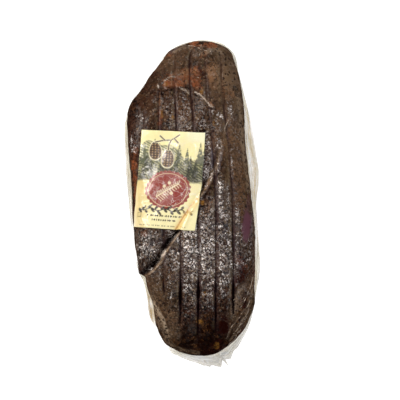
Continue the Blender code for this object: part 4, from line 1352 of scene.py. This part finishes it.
# %% Shape of the bag's edge
BAG_SLIM_END, BAG_ROUND_END = 0.1630, -0.1615
BAG_PLAN = np.array([
    (BAG_SLIM_END, 0.0095, 0.0095), (0.159, -0.0130, 0.0285), (0.149, -0.0290, 0.0400),
    (0.129, -0.0435, 0.0445), (0.105, -0.0615, 0.0510), (0.081, -0.0695, 0.0565),
    (0.051, -0.0695, 0.0610), (0.023, -0.0680, 0.0645), (0.009, -0.0665, 0.0625),
    (-0.027, -0.0630, 0.0635), (-0.063, -0.0580, 0.0655), (-0.077, -0.0522, 0.0645),
    (-0.090, -0.0485, 0.0620), (-0.105, -0.0464, 0.0597), (-0.114, -0.0448, 0.0575),
    (-0.129, -0.0375, 0.0520), (-0.149, -0.0235, 0.0400),
    (-0.157, -0.0070, 0.0320), (BAG_ROUND_END, 0.0180, 0.0180),
])
RIM_STEPS = 1100
WEDGE_STEPS = 18
UPPER_START, LOWER_START, RIM_HEIGHT, RIM_DROOP = 0.0325, 0.0275, 0.030, 0.006
RIM_TIPS = ((-22, 4, 1.5), (8, 6, 2.0), (14, 3, 2.5), (23.5, 4.5, 5.5), (29.5, 1.4, 6.5), (35, 4, 3.0))


def bag_ring():
    """The ring as rim steps by wedge steps: out along the upper film, round the rim, back along the lower."""
    middle, half = (BAG_SLIM_END + BAG_ROUND_END) / 2, (BAG_SLIM_END - BAG_ROUND_END) / 2
    loop = np.linspace(0, math.tau, RIM_STEPS, endpoint=False)
    turn = np.where(loop <= math.pi, loop, math.tau - loop)
    right_side = loop > math.pi
    ham_left, ham_right = ham_edges(turn)
    stations = turn_of(BAG_PLAN[:, 0], middle, half)
    bag_left, bag_right = flowing(turn, stations, BAG_PLAN[:, 1]), flowing(turn, stations, BAG_PLAN[:, 2])
    near_x, near_y = np.where(right_side, ham_right, ham_left), LENGTH_MIDDLE + HALF_LENGTH * np.cos(turn)
    far_x, far_y = np.where(right_side, bag_right, bag_left), middle + half * np.cos(turn)
    near, far = np.stack([near_x, near_y], axis=1), np.stack([far_x, far_y], axis=1)
    out = far - near
    width = np.linalg.norm(out, axis=1, keepdims=True)
    out = out / np.maximum(width, 1e-6)
    ragged = flat_noise(30 * loop / math.tau, 0 * loop, 1.0, 91)[:, None] * 0.10
    ragged = ragged + 0.08 * flat_noise(110 * loop / math.tau, 0 * loop, 1.0, 92)[:, None]
    far = near + out * width * (1 + ragged)
    for tip_x, tip_width, tip_length in RIM_TIPS:
        peak = np.maximum(0, 1 - np.abs(far[:, :1] / MM - tip_x) / tip_width)
        far = far + out * peak * (far[:, 1:] < middle - 0.9 * half) * tip_length * MM
    near = near - out * 0.0004
    across = np.concatenate([np.linspace(0, 1, WEDGE_STEPS), np.linspace(1, 0, WEDGE_STEPS)[1:]])
    upper = np.arange(len(across)) < WEDGE_STEPS
    share = across[None, :]
    place = near[:, None, :] + share[:, :, None] * (far - near)[:, None, :]
    start = np.where(upper, UPPER_START, LOWER_START)[None, :]
    rim = RIM_HEIGHT - RIM_DROOP * np.minimum(1.0, width / 0.008)
    height = start + (rim - start) * (1 - (1 - share) ** 1.7)
    along = loop[:, None] / math.tau
    drift = noise(9 * along + 0 * share, 3 * share + 0 * along, 0 * share * along, 1.0, 93)
    ripple = np.sin(math.tau * (2.6 * share + 0.8 * drift)) * 0.0007 + 0.0004 * noise(
        70 * along + 0 * share, 4 * share + 0 * along, 0 * share * along, 1.0, 94)
    wave = 0.0011 * np.sin(23 * loop)[:, None] * share
    height = height + ripple * np.sin(math.pi * np.minimum(1, share * 1.05)) * np.where(upper, 1, 0.6) + wave
    height = height + np.where(upper, 0.00012, -0.00012)[None, :]
    points = np.concatenate([place, height[:, :, None]], axis=2)
    return points, np.broadcast_to(share, height.shape), np.broadcast_to(along, height.shape)


ring, rim_share, rim_along = bag_ring()
print("ring", ring.shape, "highest", round(1000 * float(ring[:, :, 2].max()), 1), "mm")


# %% Faces of the ring
def ring_faces(rows, columns):
    """Squares of a ring whose rows and columns both close on themselves, facing outwards."""
    i, j = np.arange(rows)[:, None], np.arange(columns)
    i_after, j_after = (i + 1) % rows, (j + 1) % columns
    corners = [i * columns + j, i * columns + j_after, i_after * columns + j_after, i_after * columns + j]
    return np.stack(np.broadcast_arrays(*corners), axis=2).reshape(-1, 4).tolist()


ring_squares = ring_faces(*ring.shape[:2])
print(len(ring_squares), "squares round the ring")

# %% Tints and patches of the film
FILM_TINTS = {
    "pale_film": "F1ECE2", "beige": "D3B377", "tan_film": "C0A05E", "grey_film_and_shadow": "968E78",
    "white_film_and_highlight": "FFFFFF",
}
FILM_PATCHES = {
    "pale_film": (
        (6, -158, 36, 7, 0, 0.8), (50, -130, 9, 28, -33, 0.8),
    ),
    "beige": (
        (-46, -106, 8, 22, 12, 0.8), (54, 76, 3, 24, 8, 0.8), (57, 40, 5, 40, 6, 0.7),
        (61, -25, 4, 30, 0, 0.7), (60, -72, 2, 26, 0, 0.7),
    ),
    "tan_film": (
        (-43.5, -110, 1.6, 9, 6, 1.0), (-45.5, -94, 1.6, 6, 20, 0.9), (52.5, 58, 1.0, 22, 7, 0.5),
        (59, 30, 1.0, 8, 0, 0.8), (-42, -118, 1.4, 6, 30, 0.6),
    ),
    # Grey film: partly a painted shadow on the table under it, at the lower right and the round end
    "grey_film_and_shadow": (
        (50.5, 74, 2.6, 28, 8, 0.7), (55, 20, 1.6, 26, 5, 0.6), (65.5, -78, 2.4, 18, -3, 0.7),
        (19, -157, 7, 6, 0, 0.3), (28, -154, 2, 5, 0, 0.5),
    ),
    # White of doubled film, partly painted highlights along its folds
    "white_film_and_highlight": (
        (-44, -100, 1.4, 5, 10, 0.8), (55.6, 38, 1.8, 22, 5, 1.0), (0, -156, 26, 5, 0, 0.85),
        (30, -152, 8, 5, 20, 0.7), (62, -30, 1.4, 30, 0, 0.8),
    ),
}
THIN_FILM = (
    (-61, -46, 6, 32, 0, 0.97), (62, 112, 14, 20, 0, 0.3), (-47, 121, 8, 42, -37, 0.85),
    (-35, -134, 9, 21, 39, 0.95), (62, -103, 7, 12, 6, 0.55), (56.5, 38, 2, 22, 5, 0.35),
    (-54, -84, 3, 10, 0, 0.5),
)
print(sum(len(patches) for patches in FILM_PATCHES.values()), "patches of film")


# %% [markdown]
# ## Film of the bag
# Polyethylene film is clear, but folded and doubled it whitens, and where juice has dried between its sheets
# it is beige or golden. Its grey patches are partly a painted shadow on the table under it, and its white
# streaks partly painted highlights. Real thin film would be refraction; here it is a pale glossy surface
# whose alpha lets the meat and the table through, which renders faster and keeps its colours in any viewer.

# %% Clear film
def clear_film():
    """Clear film in streaks along the rim, tinted by its patches, and thinner towards its free edge."""
    look, shader, add, place = fresh_material("clear polyethylene bag film")
    rim, around, thick = (add("kept", attribute_name=name) for name in ("rim_share", "rim_along", "thick"))
    tinted = {name: add("kept", attribute_name=name) for name in FILM_TINTS}
    streak = add("grain", add("new place", add("times", around, 26.0), add("times", rim, 5.0)), 1.0, 4.0, 0.4)
    crinkle = add("grain", place, per_mm(3), 3.0)
    colour = add("mix", add("range", streak, 0.48, 0.62), "C8B88E", "FFFDEC")
    for name, tint in FILM_TINTS.items():
        share = add("times", tinted[name], add("range", crinkle, 0.35, 0.62, 0.35, 1.0))
        colour = add("mix", share, colour, tint)
    colour = add("mix", add("range", rim, 0.0, 0.16, 0.28, 0.0), colour, "9A8B79")
    alpha = add("range", streak, 0.34, 0.62, 0.34, 0.78)
    alpha = add("less", alpha, add("range", rim, 0.55, 1.0, 0.0, 0.25))
    alpha = add("number mix", tinted["pale_film"], alpha, 0.46)
    alpha = add("larger", add("times", alpha, thick), add("times", tinted["tan_film"], 0.72))
    folds = add("plus", streak, add("times", crinkle, 0.4))
    fill(shader, {"Base Color": colour, "Alpha": alpha, "Roughness": 0.16, "IOR": 1.5,
                  "Normal": add("bump", folds, 0.6, 0.001)})
    return look


film_look = clear_film()
print("film:", film_look.name)

# %% Bag piece
bag = mesh_piece("bag_edge", ring.reshape(-1, 3), ring_squares, [film_look])
store(bag, "rim_share", rim_share)
store(bag, "rim_along", rim_along)
ring_x, ring_y = ring[:, :, 0], ring[:, :, 1]
for name, patches in FILM_PATCHES.items():
    store(bag, name, painted(ring_x, ring_y, patches, edge=0.9, rough=0.25))
store(bag, "thick", 1 - painted(ring_x, ring_y, THIN_FILM, edge=0.6, rough=0.1))
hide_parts("bag_film")
print("bag edge", len(bag.data.vertices), "points")

# %% [markdown]
# ## Floor, lights and camera
# The picture was taken from straight above, on white, in broad soft light with a stronger side on the left.
# Four square lamps stand round it, the strongest on the left, and a pale world fills the shadows.

# %% Floor
floor_mesh = bpy.data.meshes.new("floor")
corners = [(3 * side_x, 3 * side_y, -0.0005) for side_x, side_y in ((-1, -1), (1, -1), (1, 1), (-1, 1))]
floor_mesh.from_pydata(corners, [], [(0, 1, 2, 3)])
floor = bpy.data.objects.new("floor", floor_mesh)
bpy.context.scene.collection.objects.link(floor)
# Matt paper that glows a little, so that it stays as white as an overlit backdrop
floor_look, floor_shader, _, _ = fresh_material("matt white studio paper")
fill(floor_shader, {
    "Base Color": "C4C3C1", "Roughness": 0.9, "Emission Color": "FFFFFF", "Emission Strength": 0.85,
})
floor_mesh.materials.append(floor_look)
print("floor", floor_mesh.name)


# %% Lights
def area_light(name, place, size, watts, tint):
    """A square lamp that points at the middle of the ham."""
    data = bpy.data.lights.new(name, "AREA")
    data.shape, data.size, data.energy = "SQUARE", size, watts
    data.color = linear(tint)[:3]
    lamp = bpy.data.objects.new(name, data)
    lamp.location = place
    lamp.rotation_euler = (Vector((0, 0, 0.04)) - Vector(place)).to_track_quat("-Z", "Y").to_euler()
    bpy.context.scene.collection.objects.link(lamp)


LAMPS = (
    ("left", (-1.1, 0.50, 1.0), 0.55, 17.2, "FFF9F2"), ("slim end", (0.15, 1.30, 1.1), 0.55, 11.3, "FFFDFA"),
    ("right", (1.2, -0.25, 1.0), 0.60, 8.6, "F6F8FF"), ("round end", (-0.1, -1.3, 1.0), 0.60, 4.9, "FFFDFA"),
)
for lamp in LAMPS:
    area_light(*lamp)
print(len(LAMPS), "lamps,", round(sum(watts for _, _, _, watts, _ in LAMPS)), "watts")
world = bpy.data.worlds.new("pale room")
bpy.context.scene.world = world
world.use_nodes = True
fill(world.node_tree.nodes["Background"], {"Color": "F2F3F5", "Strength": 0.05})
bpy.context.scene.view_settings.view_transform = "Standard"

# %% Camera
PHOTO_SIDE = 0.400
CAMERA_HEIGHT = 2.60
FRAME_CENTRE = MM * np.array([5.5, 3.0])
camera_data = bpy.data.cameras.new("camera")
camera_data.sensor_width = 36.0
camera_data.lens = 36.0 * CAMERA_HEIGHT / PHOTO_SIDE
camera_data.clip_start, camera_data.clip_end = 0.1, 20.0
camera = bpy.data.objects.new("camera", camera_data)
camera.location = (FRAME_CENTRE[0] + SHIFT[0], FRAME_CENTRE[1] + SHIFT[1], WIDEST_HEIGHT + CAMERA_HEIGHT)
bpy.context.scene.collection.objects.link(camera)
bpy.context.scene.camera = camera
print("camera", [round(c, 4) for c in camera.location], "lens", camera_data.lens)
